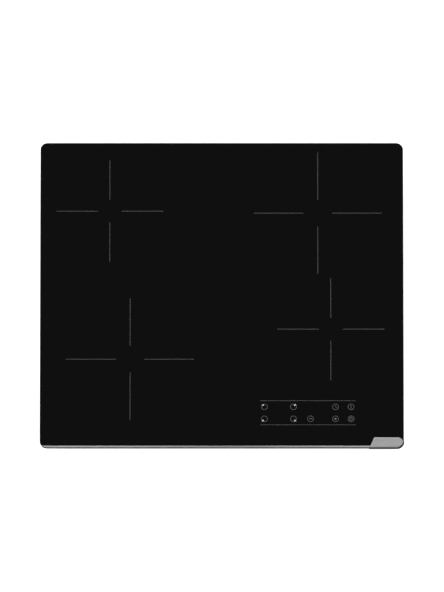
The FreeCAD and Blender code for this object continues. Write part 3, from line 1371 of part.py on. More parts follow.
# --- All pieces ----------------------------------------------------------------------------
def all_parts():
    parts = {
        "glass_top": make_glass_top(),
        "front_trim": make_front_trim(),
        "corner_cap": make_corner_cap(),
        "worktop_gasket": make_worktop_gasket(),
        "glass_bond": make_glass_bond(),
        "glass_frame": make_glass_frame(),
        "base_tray": make_base_tray(),
        "sheet_screws": make_sheet_screws(),
        "rating_plate": make_rating_plate(),
        "earth_stud": make_earth_stud(),
        "coil_plate_left": make_coil_plate(-1, PLATE_FRONT[0]),
        "coil_plate_right": make_coil_plate(1, PLATE_FRONT[1]),
        "plate_posts": make_plate_posts(),
        "ferrite_bars": make_ferrite_bars(),
        "mica_discs": make_mica_discs(),
        "coil_springs": make_coil_springs(),
        "ntc_sensors": make_ntc_sensors(),
        "coil_leads": make_coil_leads(),
        "power_board_left": make_power_board(-1, BOARD_FRONT[0]),
        "power_board_right": make_power_board(1, BOARD_FRONT[1]),
        "filter_board": make_board(filter_board_outline()),
        "board_spacers": make_board_spacers(),
        "heatsink_left": make_heatsink(-1),
        "heatsink_right": make_heatsink(1),
        "power_semiconductors": make_power_semiconductors(),
        "film_capacitors": make_film_capacitors(),
        "chokes": make_chokes(),
        "mains_leads": make_mains_leads(),
        "fan_motors": make_fan_motors(),
        "touch_holder": make_touch_holder(),
        "touch_board": make_touch_board(),
        "touch_pads": make_touch_pads(),
        "display_modules": make_display_modules(),
        "ribbon_cable": make_ribbon_cable(),
        "terminal_box": make_terminal_box(),
        "terminal_block": make_terminal_block(),
        "terminal_links": make_terminal_links(),
        "terminal_screws": make_terminal_screws(),
        "terminal_cover": make_terminal_cover(),
        "cover_pin": make_cover_pin(),
        "cable_bushing": make_cable_bushing(),
        "clamp_screws": make_clamp_screws(),
        "clamp_nuts": make_clamp_nuts(),
    }
    for name, cx, cy, radius in ZONES:
        parts["coil_carrier_" + name] = make_coil_carrier(cx, cy, radius)
        parts["coil_winding_" + name] = make_coil_winding(cx, cy, coil_turns(radius))
    for name, (x, y) in zip(("left", "right"), fan_spots()):
        parts["fan_housing_" + name] = make_fan_housing(x, y)
        parts["fan_rotor_" + name] = make_fan_rotor(x, y)
    for name, x, y, way in clamp_spots():
        parts[name] = make_clamp(x, y, way)
    return parts


def main():
    os.makedirs(OUT, exist_ok=True)
    for name, shape in all_parts().items():
        shape.exportStep(os.path.join(OUT, name + ".step"))
        volume = sum(s.Volume for s in shape.Solids)
        print(f"{name}: {len(shape.Solids)} solids, valid {shape.isValid()}, {volume / 1000:.2f} cm3")


main()
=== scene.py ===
"""Looks of a built-in induction hob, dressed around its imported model.

Each sub-assembly of the hob is a class: it builds the pieces that only show, such as the
enamel marks on the glass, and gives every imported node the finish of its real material.
Lengths are metres unless a name ends in _mm.
"""

import logging
import math
from collections import defaultdict
from dataclasses import dataclass, field
from enum import Enum
from functools import cache
from typing import Any, ClassVar, Sequence

import bmesh
import bpy
from mathutils import Matrix, Vector


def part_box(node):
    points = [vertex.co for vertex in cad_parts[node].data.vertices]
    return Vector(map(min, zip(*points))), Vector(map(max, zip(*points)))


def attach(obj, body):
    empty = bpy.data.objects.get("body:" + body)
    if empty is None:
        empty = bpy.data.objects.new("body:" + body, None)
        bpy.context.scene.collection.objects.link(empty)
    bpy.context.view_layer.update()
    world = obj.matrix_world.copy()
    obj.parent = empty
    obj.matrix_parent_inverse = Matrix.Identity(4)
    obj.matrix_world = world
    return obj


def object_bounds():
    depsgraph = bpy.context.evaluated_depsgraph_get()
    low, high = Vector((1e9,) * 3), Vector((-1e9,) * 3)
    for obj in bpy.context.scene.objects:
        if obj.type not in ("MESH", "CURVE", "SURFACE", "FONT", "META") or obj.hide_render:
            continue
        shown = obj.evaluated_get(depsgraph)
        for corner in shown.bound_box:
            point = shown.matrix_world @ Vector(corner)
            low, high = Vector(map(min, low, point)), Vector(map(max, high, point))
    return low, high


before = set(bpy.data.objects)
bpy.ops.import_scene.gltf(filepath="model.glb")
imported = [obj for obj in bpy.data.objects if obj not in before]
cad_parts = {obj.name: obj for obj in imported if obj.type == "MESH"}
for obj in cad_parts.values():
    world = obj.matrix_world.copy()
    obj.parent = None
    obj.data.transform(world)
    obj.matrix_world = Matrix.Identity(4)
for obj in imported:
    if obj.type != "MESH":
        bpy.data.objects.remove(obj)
CAD_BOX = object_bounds()

MM = 0.001
SAME = 0.01 * MM         # two points closer than this are one
LEFT = 180.0             # bearings on the hob, in degrees from its right
BACK = 90.0
FULL_TURN = 360.0
HOB = "hob"              # the body that stands still
log = logging.getLogger("hob")


# --- Shader helpers ------------------------------------------------------------------------
def linear(hex_colour: str) -> tuple[float, float, float, float]:
    """Turns an sRGB hex colour into linear light, by the curve that defines sRGB.

    Args:
        hex_colour: the colour as #rrggbb.

    Returns:
        Red, green, blue and an alpha of 1.
    """
    shares = [int(hex_colour[i:i + 2], 16) / 255 for i in (1, 3, 5)]
    red, green, blue = (s / 12.92 if s <= 0.04045 else ((s + 0.055) / 1.055) ** 2.4 for s in shares)
    return red, green, blue, 1.0


def add_node(
    tree: bpy.types.NodeTree,
    kind: str,
    inputs: dict[str | int, Any] | None = None,
    stops: Sequence[tuple[float, Any]] = (),
    **settings: Any,
) -> bpy.types.Node:
    """Adds one node with its settings, its values and its links.

    Args:
        tree: the node tree that gets the node.
        kind: Blender's name for the node, without ShaderNode.
        inputs: for each input, a value, or the output socket that feeds it.
        stops: the places and the colours or grey levels of its colour ramp, if it has one.
        **settings: the node's own properties.

    Returns:
        The new node.
    """
    node = tree.nodes.new("ShaderNode" + kind)
    for name, value in settings.items():
        setattr(node, name, value)
    for name, value in (inputs or {}).items():
        if isinstance(value, bpy.types.NodeSocket):
            tree.links.new(value, node.inputs[name])
        else:
            node.inputs[name].default_value = value
    for number, (place, shade) in enumerate(stops):
        elements = node.color_ramp.elements
        element = elements[number] if number < len(elements) else elements.new(1.0)
        element.position = place
        element.color = shade if isinstance(shade, tuple) else (shade, shade, shade, 1.0)
    return node


def new_material(name: str) -> tuple[bpy.types.Material, bpy.types.NodeTree]:
    """Makes a material with no nodes yet.

    Args:
        name: the material's name.

    Returns:
        The material and its empty node tree.
    """
    material = bpy.data.materials.new(name)
    material.use_nodes = True
    material.node_tree.nodes.clear()
    return material, material.node_tree


# --- Finishes: how a surface is drawn ------------------------------------------------------
NOISE_LOW = 0.7          # two noises added together mostly lie between these
NOISE_HIGH = 1.3
PITS = 0.1               # where a foam cell's distance reads as its pit, and as its wall
WALLS = 0.75
FINE = 3.0               # octaves in the noise of a grain, of a slow drift and of a swell
SLOW = 2.0
SWELL = 1.0
WAVE_TURN = 20.0         # how far the wave pattern's bands turn in one unit, in radians


@dataclass(frozen=True)
class Finish:
    """A real surface. Kinds of surface below say how its pattern is drawn."""

    colour: str = "#808080"
    roughness: float = 0.5
    metallic: float = 0.0
    ior: float = 1.5
    coat: float = 0.0
    coat_roughness: float = 0.08
    brushing: float = 0.0    # anisotropy

    def make(self) -> bpy.types.Material:
        """Builds the material.

        Returns:
            A material named for this finish.
        """
        material, tree = new_material(type(self).__name__)
        material.diffuse_color = linear(self.colour)
        constants = {
            "Base Color": linear(self.colour),
            "Roughness": self.roughness,
            "Metallic": self.metallic,
            "IOR": self.ior,
            "Coat Weight": self.coat,
            "Coat Roughness": self.coat_roughness,
            "Anisotropic": self.brushing,
        }
        shader = add_node(tree, "BsdfPrincipled", constants)
        place = add_node(tree, "TexCoord").outputs["Object"]
        self.draw(tree, shader, place)
        add_node(tree, "OutputMaterial", {"Surface": shader.outputs["BSDF"]})
        return material

    def draw(self, tree: bpy.types.NodeTree, shader: bpy.types.Node, place: bpy.types.NodeSocket) -> None:
        """Adds the pattern: none on a bare finish.

        Args:
            tree: the material's nodes.
            shader: the surface's shader.
            place: where a point is on its piece, in metres.
        """

    def shaded(self, share: float) -> tuple[float, float, float, float]:
        """Makes the finish's own colour darker or lighter.

        Args:
            share: how much of its light is kept.

        Returns:
            The colour in linear light.
        """
        red, green, blue, alpha = linear(self.colour)
        return red * share, green * share, blue * share, alpha


@dataclass(frozen=True)
class Grained(Finish):
    """A fine grain that catches light, and a slow drift of tone over the surface."""

    grain_mm: float = 0.8
    depth_mm: float = 0.02
    stretch: tuple[float, float, float] = (1.0, 1.0, 1.0)    # along each axis; under 1 is longer
    drift_mm: float = 30.0
    drift: float = 0.08
    wear: float = 0.06       # how far the roughness strays

    def draw(self, tree: bpy.types.NodeTree, shader: bpy.types.Node, place: bpy.types.NodeSocket) -> None:
        """Adds the grain and the drift of tone.

        Args:
            tree: the material's nodes.
            shader: the surface's shader.
            place: where a point is on its piece, in metres.
        """
        scale = [s / (self.grain_mm * MM) for s in self.stretch]
        grid = add_node(tree, "Mapping", {"Vector": place, "Scale": scale})
        grain = add_node(tree, "TexNoise", {"Vector": grid.outputs[0], "Scale": 1.0, "Detail": FINE})
        slow = {"Vector": place, "Scale": 1 / (self.drift_mm * MM), "Detail": SLOW}
        drift = add_node(tree, "TexNoise", slow)
        mixed = add_node(tree, "Math", {0: grain.outputs[0], 1: drift.outputs[0]}, operation="ADD")
        noise = {"Value": mixed.outputs[0], "From Min": NOISE_LOW, "From Max": NOISE_HIGH}
        tone = add_node(tree, "MapRange", {**noise, "To Min": 0.0, "To Max": 1.0})
        stops = ((0.0, self.shaded(1 - self.drift)), (1.0, self.shaded(1 + self.drift)))
        shade = add_node(tree, "ValToRGB", {"Fac": tone.outputs[0]}, stops)
        tree.links.new(shade.outputs["Color"], shader.inputs["Base Color"])
        low = max(self.roughness - self.wear, 0.0)
        high = min(self.roughness + self.wear, 1.0)
        rough = add_node(tree, "MapRange", {**noise, "To Min": low, "To Max": high})
        tree.links.new(rough.outputs[0], shader.inputs["Roughness"])
        relief = {"Height": grain.outputs[0], "Distance": self.depth_mm * MM, "Strength": 1.0}
        bump = add_node(tree, "Bump", relief)
        tree.links.new(bump.outputs[0], shader.inputs["Normal"])


@dataclass(frozen=True)
class GrainedWithPaintedShadeSides(Grained):
    """A grained surface with painted shade on its upright sides, and darker painted shade on its right
    flank.
    """

    side_shade_share: float = 0.36
    side_from: float = 0.97      # how far up a surface faces where its side begins
    side_whole: float = 0.70     # and where it is all side
    flank_shade_share: float = 0.12
    flank_from: float = 0.04     # the same for how far right it faces: the right flank gets darker painted shade
    flank_whole: float = 0.20

    def draw(self, tree: bpy.types.NodeTree, shader: bpy.types.Node, place: bpy.types.NodeSocket) -> None:
        """Adds the grain, then painted shade on the upright sides, then darker painted shade on the right
        flank.

        Args:
            tree: the material's nodes.
            shader: the surface's shader.
            place: where a point is on its piece, in metres.
        """
        super().draw(tree, shader, place)
        normal = add_node(tree, "TexCoord").outputs["Normal"]
        facing = add_node(tree, "SeparateXYZ", {"Vector": normal})
        side = {
            "Value": facing.outputs["Z"],
            "From Min": self.side_whole,
            "From Max": self.side_from,
            "To Min": 1.0,
            "To Max": 0.0,
        }
        flank = {
            "Value": facing.outputs["X"],
            "From Min": self.flank_from,
            "From Max": self.flank_whole,
            "To Min": 0.0,
            "To Max": 1.0,
        }
        tone = shader.inputs["Base Color"].links[0].from_socket
        # Painted shade: the upright sides, then the right flank, are mixed toward darker copies of the
        # finish's colour.
        for part, share in ((side, self.side_shade_share), (flank, self.flank_shade_share)):
            mask = add_node(tree, "MapRange", part).outputs[0]
            both = {"Fac": mask, "Color1": tone, "Color2": self.shaded(share)}
            tone = add_node(tree, "MixRGB", both).outputs[0]
        tree.links.new(tone, shader.inputs["Base Color"])


@dataclass(frozen=True)
class Crystalline(Finish):
    """Flat crystals side by side, each with its own tone, over a faint rolled grain."""

    crystal_mm: float = 9.0
    ragged: float = 0.5      # how far its border strays, as a share of its size
    contrast: float = 0.11
    shine: float = 0.5       # how much of that contrast the roughness has, each way
    grain_mm: float = 0.7
    depth_mm: float = 0.008

    def draw(self, tree: bpy.types.NodeTree, shader: bpy.types.Node, place: bpy.types.NodeSocket) -> None:
        """Adds the crystals, with ragged borders, and the grain.

        Args:
            tree: the material's nodes.
            shader: the surface's shader.
            place: where a point is on its piece, in metres.
        """
        pitch = 1 / (self.crystal_mm * MM)
        warp = add_node(tree, "TexNoise", {"Vector": place, "Scale": pitch, "Detail": SLOW})
        reach = {0: warp.outputs["Color"], "Scale": self.crystal_mm * MM * self.ragged}
        bent = add_node(tree, "VectorMath", reach, operation="SCALE")
        moved = add_node(tree, "VectorMath", {0: bent.outputs[0], 1: place}, operation="ADD")
        cells = add_node(tree, "TexVoronoi", {"Vector": moved.outputs[0], "Scale": pitch})
        level = add_node(tree, "SeparateColor", {"Color": cells.outputs["Color"]})
        stops = ((0.0, self.shaded(1 - self.contrast)), (1.0, self.shaded(1 + self.contrast)))
        shade = add_node(tree, "ValToRGB", {"Fac": level.outputs[0]}, stops)
        tree.links.new(shade.outputs["Color"], shader.inputs["Base Color"])
        low = self.roughness - self.contrast * self.shine
        high = self.roughness + self.contrast * self.shine
        spread = {"From Min": 0.0, "From Max": 1.0, "To Min": low, "To Max": high}
        rough = add_node(tree, "MapRange", {"Value": level.outputs[1], **spread})
        tree.links.new(rough.outputs[0], shader.inputs["Roughness"])
        rolled = {"Vector": place, "Scale": 1 / (self.grain_mm * MM), "Detail": FINE}
        grain = add_node(tree, "TexNoise", rolled)
        bump = add_node(tree, "Bump", {"Height": grain.outputs[0], "Distance": self.depth_mm * MM})
        tree.links.new(bump.outputs[0], shader.inputs["Normal"])


@dataclass(frozen=True)
class Cellular(Finish):
    """Open or closed foam cells."""

    cell_mm: float = 0.8
    depth_mm: float = 0.25
    pit_shade_share: float = 0.55
    wall_light_share: float = 1.3

    def draw(self, tree: bpy.types.NodeTree, shader: bpy.types.Node, place: bpy.types.NodeSocket) -> None:
        """Adds the cells, with painted shade in their pits and painted light on their walls.

        Args:
            tree: the material's nodes.
            shader: the surface's shader.
            place: where a point is on its piece, in metres.
        """
        cells = add_node(tree, "TexVoronoi", {"Vector": place, "Scale": 1 / (self.cell_mm * MM)})
        # Painted shade in the cell pits and painted light on the cell walls.
        stops = ((PITS, self.shaded(self.pit_shade_share)), (WALLS, self.shaded(self.wall_light_share)))
        shade = add_node(tree, "ValToRGB", {"Fac": cells.outputs["Distance"]}, stops)
        tree.links.new(shade.outputs["Color"], shader.inputs["Base Color"])
        bump = add_node(tree, "Bump", {"Height": cells.outputs["Distance"], "Distance": self.depth_mm * MM})
        tree.links.new(bump.outputs[0], shader.inputs["Normal"])


@dataclass(frozen=True)
class Stranded(Finish):
    """Strands laid side by side on the slant, or crossing in a braid."""

    strand_mm: float = 0.9
    waves: float = 4.0       # divides the scale: strands come out half as wide again, to show
    wander: float = 0.6      # how far a strand strays from its line
    depth_mm: float = 0.12
    braided: bool = False
    gap_shade_share: float = 0.35
    gap_from: float = 0.05   # how high up a strand the gap's shade is whole, and where it ends
    gap_end: float = 0.5

    def strands(self, tree: bpy.types.NodeTree, place: bpy.types.NodeSocket) -> bpy.types.NodeSocket:
        """Adds strands that lie one way.

        Args:
            tree: the material's nodes.
            place: where a point is on its piece.

        Returns:
            The strands' height, 0 in the gaps and 1 on their backs.
        """
        scale = 1 / (self.strand_mm * MM) / self.waves
        lines = {"Vector": place, "Scale": scale, "Distortion": self.wander}
        return add_node(tree, "TexWave", lines, bands_direction="DIAGONAL").outputs["Fac"]

    def draw(self, tree: bpy.types.NodeTree, shader: bpy.types.Node, place: bpy.types.NodeSocket) -> None:
        """Adds the strands, with painted shade in the lines between them.

        Args:
            tree: the material's nodes.
            shader: the surface's shader.
            place: where a point is on its piece, in metres.
        """
        height = self.strands(tree, place)
        if self.braided:
            flipped = add_node(tree, "Mapping", {"Vector": place, "Scale": (-1.0, 1.0, 1.0)})
            both = {0: height, 1: self.strands(tree, flipped.outputs[0])}
            height = add_node(tree, "Math", both, operation="MAXIMUM").outputs[0]
        # Painted shade in the gaps between the strands.
        stops = ((self.gap_from, self.shaded(self.gap_shade_share)), (self.gap_end, self.shaded(1.0)))
        shade = add_node(tree, "ValToRGB", {"Fac": height}, stops)
        tree.links.new(shade.outputs["Color"], shader.inputs["Base Color"])
        bump = add_node(tree, "Bump", {"Height": height, "Distance": self.depth_mm * MM})
        tree.links.new(bump.outputs[0], shader.inputs["Normal"])


# --- Finishes: the hob's own ---------------------------------------------------------------
# Near black, and the deepest gloss on the hob: it mirrors the room with a hint of ripple, while
# its ground edges are dull.
@dataclass(frozen=True)
class RolledGlassCeramic(Finish):
    """Black glass-ceramic sheet, rolled, polished, and ground along its edges."""

    colour: str = "#040404"
    roughness: float = 0.035
    ior: float = 1.54
    ripple_mm: float = 45.0
    ripple_depth_mm: float = 0.010
    ground_roughness: float = 0.34
    edge_whole: float = 0.80     # how far up a surface faces where it is all ground edge
    edge_from: float = 0.98      # and where it is all polished

    def draw(self, tree: bpy.types.NodeTree, shader: bpy.types.Node, place: bpy.types.NodeSocket) -> None:
        """Adds the ripple left by rolling and the dull ground edge.

        Args:
            tree: the material's nodes.
            shader: the surface's shader.
            place: where a point is on its piece, in metres.
        """
        normal = add_node(tree, "TexCoord").outputs["Normal"]
        facing = add_node(tree, "SeparateXYZ", {"Vector": normal})
        across = {
            "Value": facing.outputs["Z"],
            "From Min": self.edge_whole,
            "From Max": self.edge_from,
            "To Min": self.ground_roughness,
            "To Max": self.roughness,
        }
        rough = add_node(tree, "MapRange", across)
        tree.links.new(rough.outputs[0], shader.inputs["Roughness"])
        swell = {"Vector": place, "Scale": 1 / (self.ripple_mm * MM), "Detail": SWELL}
        ripple = add_node(tree, "TexNoise", swell)
        relief = {"Height": ripple.outputs[0], "Distance": self.ripple_depth_mm * MM, "Strength": 1.0}
        bump = add_node(tree, "Bump", relief)
        tree.links.new(bump.outputs[0], shader.inputs["Normal"])


# Dull mid-grey lines that stay matt where the glass around them shines.
@dataclass(frozen=True)
class ScreenPrintedEnamel(Grained):
    """Ceramic enamel, screen printed and fired onto the glass."""

    colour: str = "#434343"
    roughness: float = 0.55
    grain_mm: float = 0.5    # the mesh's print dots, drawn coarser than their 0.1 mm
    depth_mm: float = 0.004
    drift: float = 0.10


# The brightest marks: near-white dots that say which zone a key is for.
@dataclass(frozen=True)
class WhiteFiredEnamel(ScreenPrintedEnamel):
    """Opaque white enamel, printed thicker than the grey."""

    colour: str = "#f2f2f0"
    roughness: float = 0.5


# A soft silver streak, with painted shade where the bar turns down to the front.
@dataclass(frozen=True)
class BrushedAnodisedAluminium(GrainedWithPaintedShadeSides):
    """Extruded aluminium bar, brushed along its length and clear anodised."""

    colour: str = "#bebebf"
    roughness: float = 0.36
    metallic: float = 1.0
    brushing: float = 0.5
    grain_mm: float = 0.25   # brush lines of 0.05 mm, drawn as coarse as they need to show
    stretch: tuple[float, float, float] = (0.004, 1.0, 1.0)
    depth_mm: float = 0.0008
    drift_mm: float = 90.0
    drift: float = 0.03
    wear: float = 0.02


# A flat pale grey without streaks, with light only on its rounded rim, and painted shade on its upright
# sides and right flank.
@dataclass(frozen=True)
class BlastedAnodisedAluminium(GrainedWithPaintedShadeSides):
    """Die-cast aluminium corner, glass-bead blasted and anodised."""

    colour: str = "#aeaeae"
    roughness: float = 0.46
    metallic: float = 1.0
    grain_mm: float = 0.35
    depth_mm: float = 0.006
    drift: float = 0.04


# Pale blue-grey sheet with a quiet patchwork of crystals.
@dataclass(frozen=True)
class HotDipGalvanisedSteel(Crystalline):
    """Cold-rolled steel sheet, hot-dip zinc coated, folded and punched."""

    colour: str = "#a9adb0"
    roughness: float = 0.42
    metallic: float = 1.0


# Brighter and a little bluer than the sheet around it.
@dataclass(frozen=True)
class ZincPlatedSteel(Grained):
    """Pressed steel strip, electroplated with zinc and passivated."""

    colour: str = "#b9bec6"
    roughness: float = 0.30
    metallic: float = 1.0
    grain_mm: float = 0.5
    drift_mm: float = 12.0
    drift: float = 0.10


# Small bright points of light on every head.
@dataclass(frozen=True)
class ZincPlatedScrew(ZincPlatedSteel):
    """Cold-headed steel screw, zinc plated."""

    colour: str = "#c8cbce"
    roughness: float = 0.24
    grain_mm: float = 0.3
    drift_mm: float = 4.0


# Dark straw-blue strips, clearly another steel than the plated parts.
@dataclass(frozen=True)
class BluedSpringSteel(Grained):
    """Hardened and tempered strip with its oxide colour."""

    colour: str = "#5b5f6b"
    roughness: float = 0.32
    metallic: float = 1.0
    drift_mm: float = 8.0
    drift: float = 0.18


# Dull black tape that shows its torn cells at the edge.
@dataclass(frozen=True)
class ClosedCellFoam(Cellular):
    """EPDM foam tape, expanded and slit, glued under the glass."""

    colour: str = "#1e1e1f"
    roughness: float = 0.95
    cell_mm: float = 0.9
    depth_mm: float = 0.12


# Charcoal foam, a shade lighter than the seal.
@dataclass(frozen=True)
class ConductiveFoam(Cellular):
    """Carbon-loaded foam pads under the touch keys."""

    colour: str = "#2f2f31"
    roughness: float = 0.9
    cell_mm: float = 0.6
    depth_mm: float = 0.10


# Satin black bead, smoother than the foam beside it.
@dataclass(frozen=True)
class CuredSilicone(Grained):
    """Silicone adhesive bead, cured in place."""

    colour: str = "#161616"
    roughness: float = 0.42
    ior: float = 1.41
    grain_mm: float = 3.0
    depth_mm: float = 0.06
    drift: float = 0.12


# Silky silver film with a hint of grain.
@dataclass(frozen=True)
class SatinPolyesterFoil(Grained):
    """Metallised polyester label, die cut."""

    colour: str = "#b7b8b9"
    roughness: float = 0.40
    metallic: float = 0.85
    grain_mm: float = 0.4
    depth_mm: float = 0.003
    drift: float = 0.03


# Flat dark ink that does not shine with the foil.
@dataclass(frozen=True)
class LabelInk(Grained):
    """Thermal-transfer ink."""

    colour: str = "#26282b"
    roughness: float = 0.62
    grain_mm: float = 0.4
    depth_mm: float = 0.002


# Bright, lightly streaked sheet under the coils.
@dataclass(frozen=True)
class MillRolledAluminium(Grained):
    """Aluminium sheet as it leaves the mill."""

    colour: str = "#a8aaac"
    roughness: float = 0.38
    metallic: float = 1.0
    grain_mm: float = 0.6
    stretch: tuple[float, float, float] = (1.0, 0.04, 1.0)
    depth_mm: float = 0.006
    drift: float = 0.06


# Soft silver with the die's lines along the fins.
@dataclass(frozen=True)
class ExtrudedAluminium(MillRolledAluminium):
    """Heatsink profile, sawn to length."""

    colour: str = "#b3b5b7"
    roughness: float = 0.44
    grain_mm: float = 0.4


# Milky and slightly waxy.
@dataclass(frozen=True)
class NaturalNylon(Grained):
    """Unpigmented polyamide 6.6, injection moulded."""

    colour: str = "#dcd8cb"
    roughness: float = 0.45
    ior: float = 1.53
    grain_mm: float = 0.5
    drift: float = 0.04


# Pale grey with the flecks of its glass fibres.
@dataclass(frozen=True)
class GlassFilledPolyester(Grained):
    """Thermoset polyester with glass fibre, compression moulded."""

    colour: str = "#b9b8b3"
    roughness: float = 0.6
    grain_mm: float = 1.4
    depth_mm: float = 0.03
    drift_mm: float = 6.0
    drift: float = 0.10


# Warm copper, with painted shade between its twisted bundles.
@dataclass(frozen=True)
class TwistedLitzCopper(Stranded):
    """Enamelled copper strands, twisted and pressed flat in the coil."""

    colour: str = "#b4673c"
    roughness: float = 0.34
    metallic: float = 1.0
    strand_mm: float = 0.8


# Deep amber-brown rings.
@dataclass(frozen=True)
class EnamelledCopperWire(Stranded):
    """Single enamelled wire wound on a choke."""

    colour: str = "#8e4a24"
    roughness: float = 0.28
    metallic: float = 0.9
    strand_mm: float = 1.2


# Matt charcoal, like slate.
@dataclass(frozen=True)
class SinteredFerrite(Grained):
    """Manganese-zinc ferrite, pressed, sintered and tumbled."""

    colour: str = "#35363a"
    roughness: float = 0.7
    grain_mm: float = 0.7
    depth_mm: float = 0.03
    drift: float = 0.15


# Straw silver that flakes in and out of shine.
@dataclass(frozen=True)
class PressedMica(Crystalline):
    """Phlogopite paper bonded with silicone resin."""

    colour: str = "#9c8f74"
    roughness: float = 0.45
    crystal_mm: float = 3.0
    contrast: float = 0.18


# Brick-red rubber tips.
@dataclass(frozen=True)
class RedSilicone(Grained):
    """Heat-stable silicone, moulded over the sensor bead."""

    colour: str = "#8f2d22"
    roughness: float = 0.55
    ior: float = 1.41


# Ivory tubes with a fine criss-cross.
@dataclass(frozen=True)
class BraidedGlassSleeve(Stranded):
    """Glass-fibre sleeve over the coil leads, braided and varnished."""

    colour: str = "#d8cfae"
    roughness: float = 0.6
    strand_mm: float = 0.6
    depth_mm: float = 0.06
    braided: bool = True
    gap_shade_share: float = 0.6


# Smooth brown cable sheath with a soft shine.
@dataclass(frozen=True)
class ExtrudedPvcSleeve(Grained):
    """PVC insulation, extruded."""

    colour: str = "#5a3522"
    roughness: float = 0.38
    ior: float = 1.53
    grain_mm: float = 2.0
    depth_mm: float = 0.02


# Black engineering plastic with a fine spark texture.
@dataclass(frozen=True)
class BlackPolybutylene(Grained):
    """Flame-retardant PBT, moulded in a spark-eroded tool."""

    colour: str = "#1b1c1e"
    roughness: float = 0.52
    ior: float = 1.55
    grain_mm: float = 0.5
    depth_mm: float = 0.03
    drift: float = 0.10


# A shade lighter than the housing, so the blades read apart from it.
@dataclass(frozen=True)
class CharcoalPolybutylene(BlackPolybutylene):
    """The fan wheels' PBT, moulded from paler stock."""

    colour: str = "#232528"


# Charcoal rather than black, so the box reads apart from the fan.
@dataclass(frozen=True)
class GreyPolypropylene(BlackPolybutylene):
    """Talc-filled polypropylene, moulded."""

    colour: str = "#4b4e52"
    roughness: float = 0.56
    ior: float = 1.49


# Pale grey tray for the key board.
@dataclass(frozen=True)
class MouldedAbs(Grained):
    """ABS, injection moulded with a fine texture."""

    colour: str = "#8d9093"
    roughness: float = 0.48
    ior: float = 1.54
    grain_mm: float = 0.5
    depth_mm: float = 0.02


# Tight black blocks with a slight shine on top.
@dataclass(frozen=True)
class MouldedEpoxy(BlackPolybutylene):
    """Epoxy moulding compound on power devices."""

    colour: str = "#17181a"
    roughness: float = 0.40


# Small grey bricks.
@dataclass(frozen=True)
class FilmCapacitorCase(MouldedAbs):
    """PBT box filled with resin."""

    colour: str = "#9aa0a4"
    roughness: float = 0.36


# Creamy block, slightly translucent at its edges.
@dataclass(frozen=True)
class CreamPolyamide(NaturalNylon):
    """Polyamide 6 terminal block."""

    colour: str = "#d9d2bb"
    roughness: float = 0.40


# Clean yellow metal in small bright pieces.
@dataclass(frozen=True)
class RolledBrass(Grained):
    """Brass strip and turned brass screws."""

    colour: str = "#c8a860"
    roughness: float = 0.26
    metallic: float = 1.0
    grain_mm: float = 0.4
    depth_mm: float = 0.006


# Black and dull, with no crisp light at all.
@dataclass(frozen=True)
class MouldedRubber(Grained):
    """Chloroprene rubber grommet."""

    colour: str = "#19191a"
    roughness: float = 0.78
    ior: float = 1.52
    grain_mm: float = 0.9
    depth_mm: float = 0.04


# Dark laminated steel under a black cup.
@dataclass(frozen=True)
class LaminatedMotorSteel(Grained):
    """Stamped and stacked electrical steel, varnished."""

    colour: str = "#5a5d60"
    roughness: float = 0.4
    metallic: float = 1.0
    grain_mm: float = 0.5
    stretch: tuple[float, float, float] = (0.05, 0.05, 1.0)
    depth_mm: float = 0.03


# Black window blocks with a soft shine.
@dataclass(frozen=True)
class SmokedPolycarbonate(MouldedAbs):
    """Tinted display block."""

    colour: str = "#121214"
    roughness: float = 0.22
    ior: float = 1.58


# Green laminate with tracks, pads and a soft lacquer shine.
@dataclass(frozen=True)
class SolderMaskLaminate(Finish):
    """FR-4 board with copper tracks under green solder mask."""

    colour: str = "#1d4a2c"
    roughness: float = 0.32
    coat: float = 0.2
    tin: str = "#b9b6a6"
    track_mm: float = 2.4        # from row to row
    track_row: float = 0.5       # the same in the pattern's unit, then its length and the gap
    track_run: float = 3.0
    track_gap: float = 0.12
    stagger: float = 0.37        # from one row to the next
    squash: float = 1.6          # how much longer the tracks are in every third row
    squash_every: int = 3
    track_depth_mm: float = 0.04
    track_share: float = 1.7     # lacquer over copper, against lacquer over bare board
    pad_mm: float = 3.6          # from pad to pad
    pad_size: float = 0.16       # a pad's radius, as a share of that

    def draw(self, tree: bpy.types.NodeTree, shader: bpy.types.Node, place: bpy.types.NodeSocket) -> None:
        """Adds raised tracks and round tinned pads.

        Args:
            tree: the material's nodes.
            shader: the surface's shader.
            place: where a point is on its piece, in metres.
        """
        runs = {
            "Vector": place,
            "Scale": self.track_row / (self.track_mm * MM),
            "Mortar Size": self.track_gap,
            "Brick Width": self.track_run,
            "Row Height": self.track_row,
        }
        rows = {"offset": self.stagger, "squash": self.squash, "squash_frequency": self.squash_every}
        tracks = add_node(tree, "TexBrick", runs, **rows)
        track = tracks.outputs["Fac"]
        pads = add_node(tree, "TexVoronoi", {"Vector": place, "Scale": 1 / (self.pad_mm * MM)})
        pad = add_node(tree, "Math", {0: pads.outputs["Distance"], 1: self.pad_size}, operation="LESS_THAN")
        lacquer = {"Fac": track, "Color1": linear(self.colour), "Color2": self.shaded(self.track_share)}
        green = add_node(tree, "MixRGB", lacquer).outputs[0]
        tinned = {"Fac": pad.outputs[0], "Color1": green, "Color2": linear(self.tin)}
        shade = add_node(tree, "MixRGB", tinned)
        tree.links.new(shade.outputs[0], shader.inputs["Base Color"])
        tree.links.new(pad.outputs[0], shader.inputs["Metallic"])
        bump = add_node(tree, "Bump", {"Height": track, "Distance": self.track_depth_mm * MM})
        tree.links.new(bump.outputs[0], shader.inputs["Normal"])


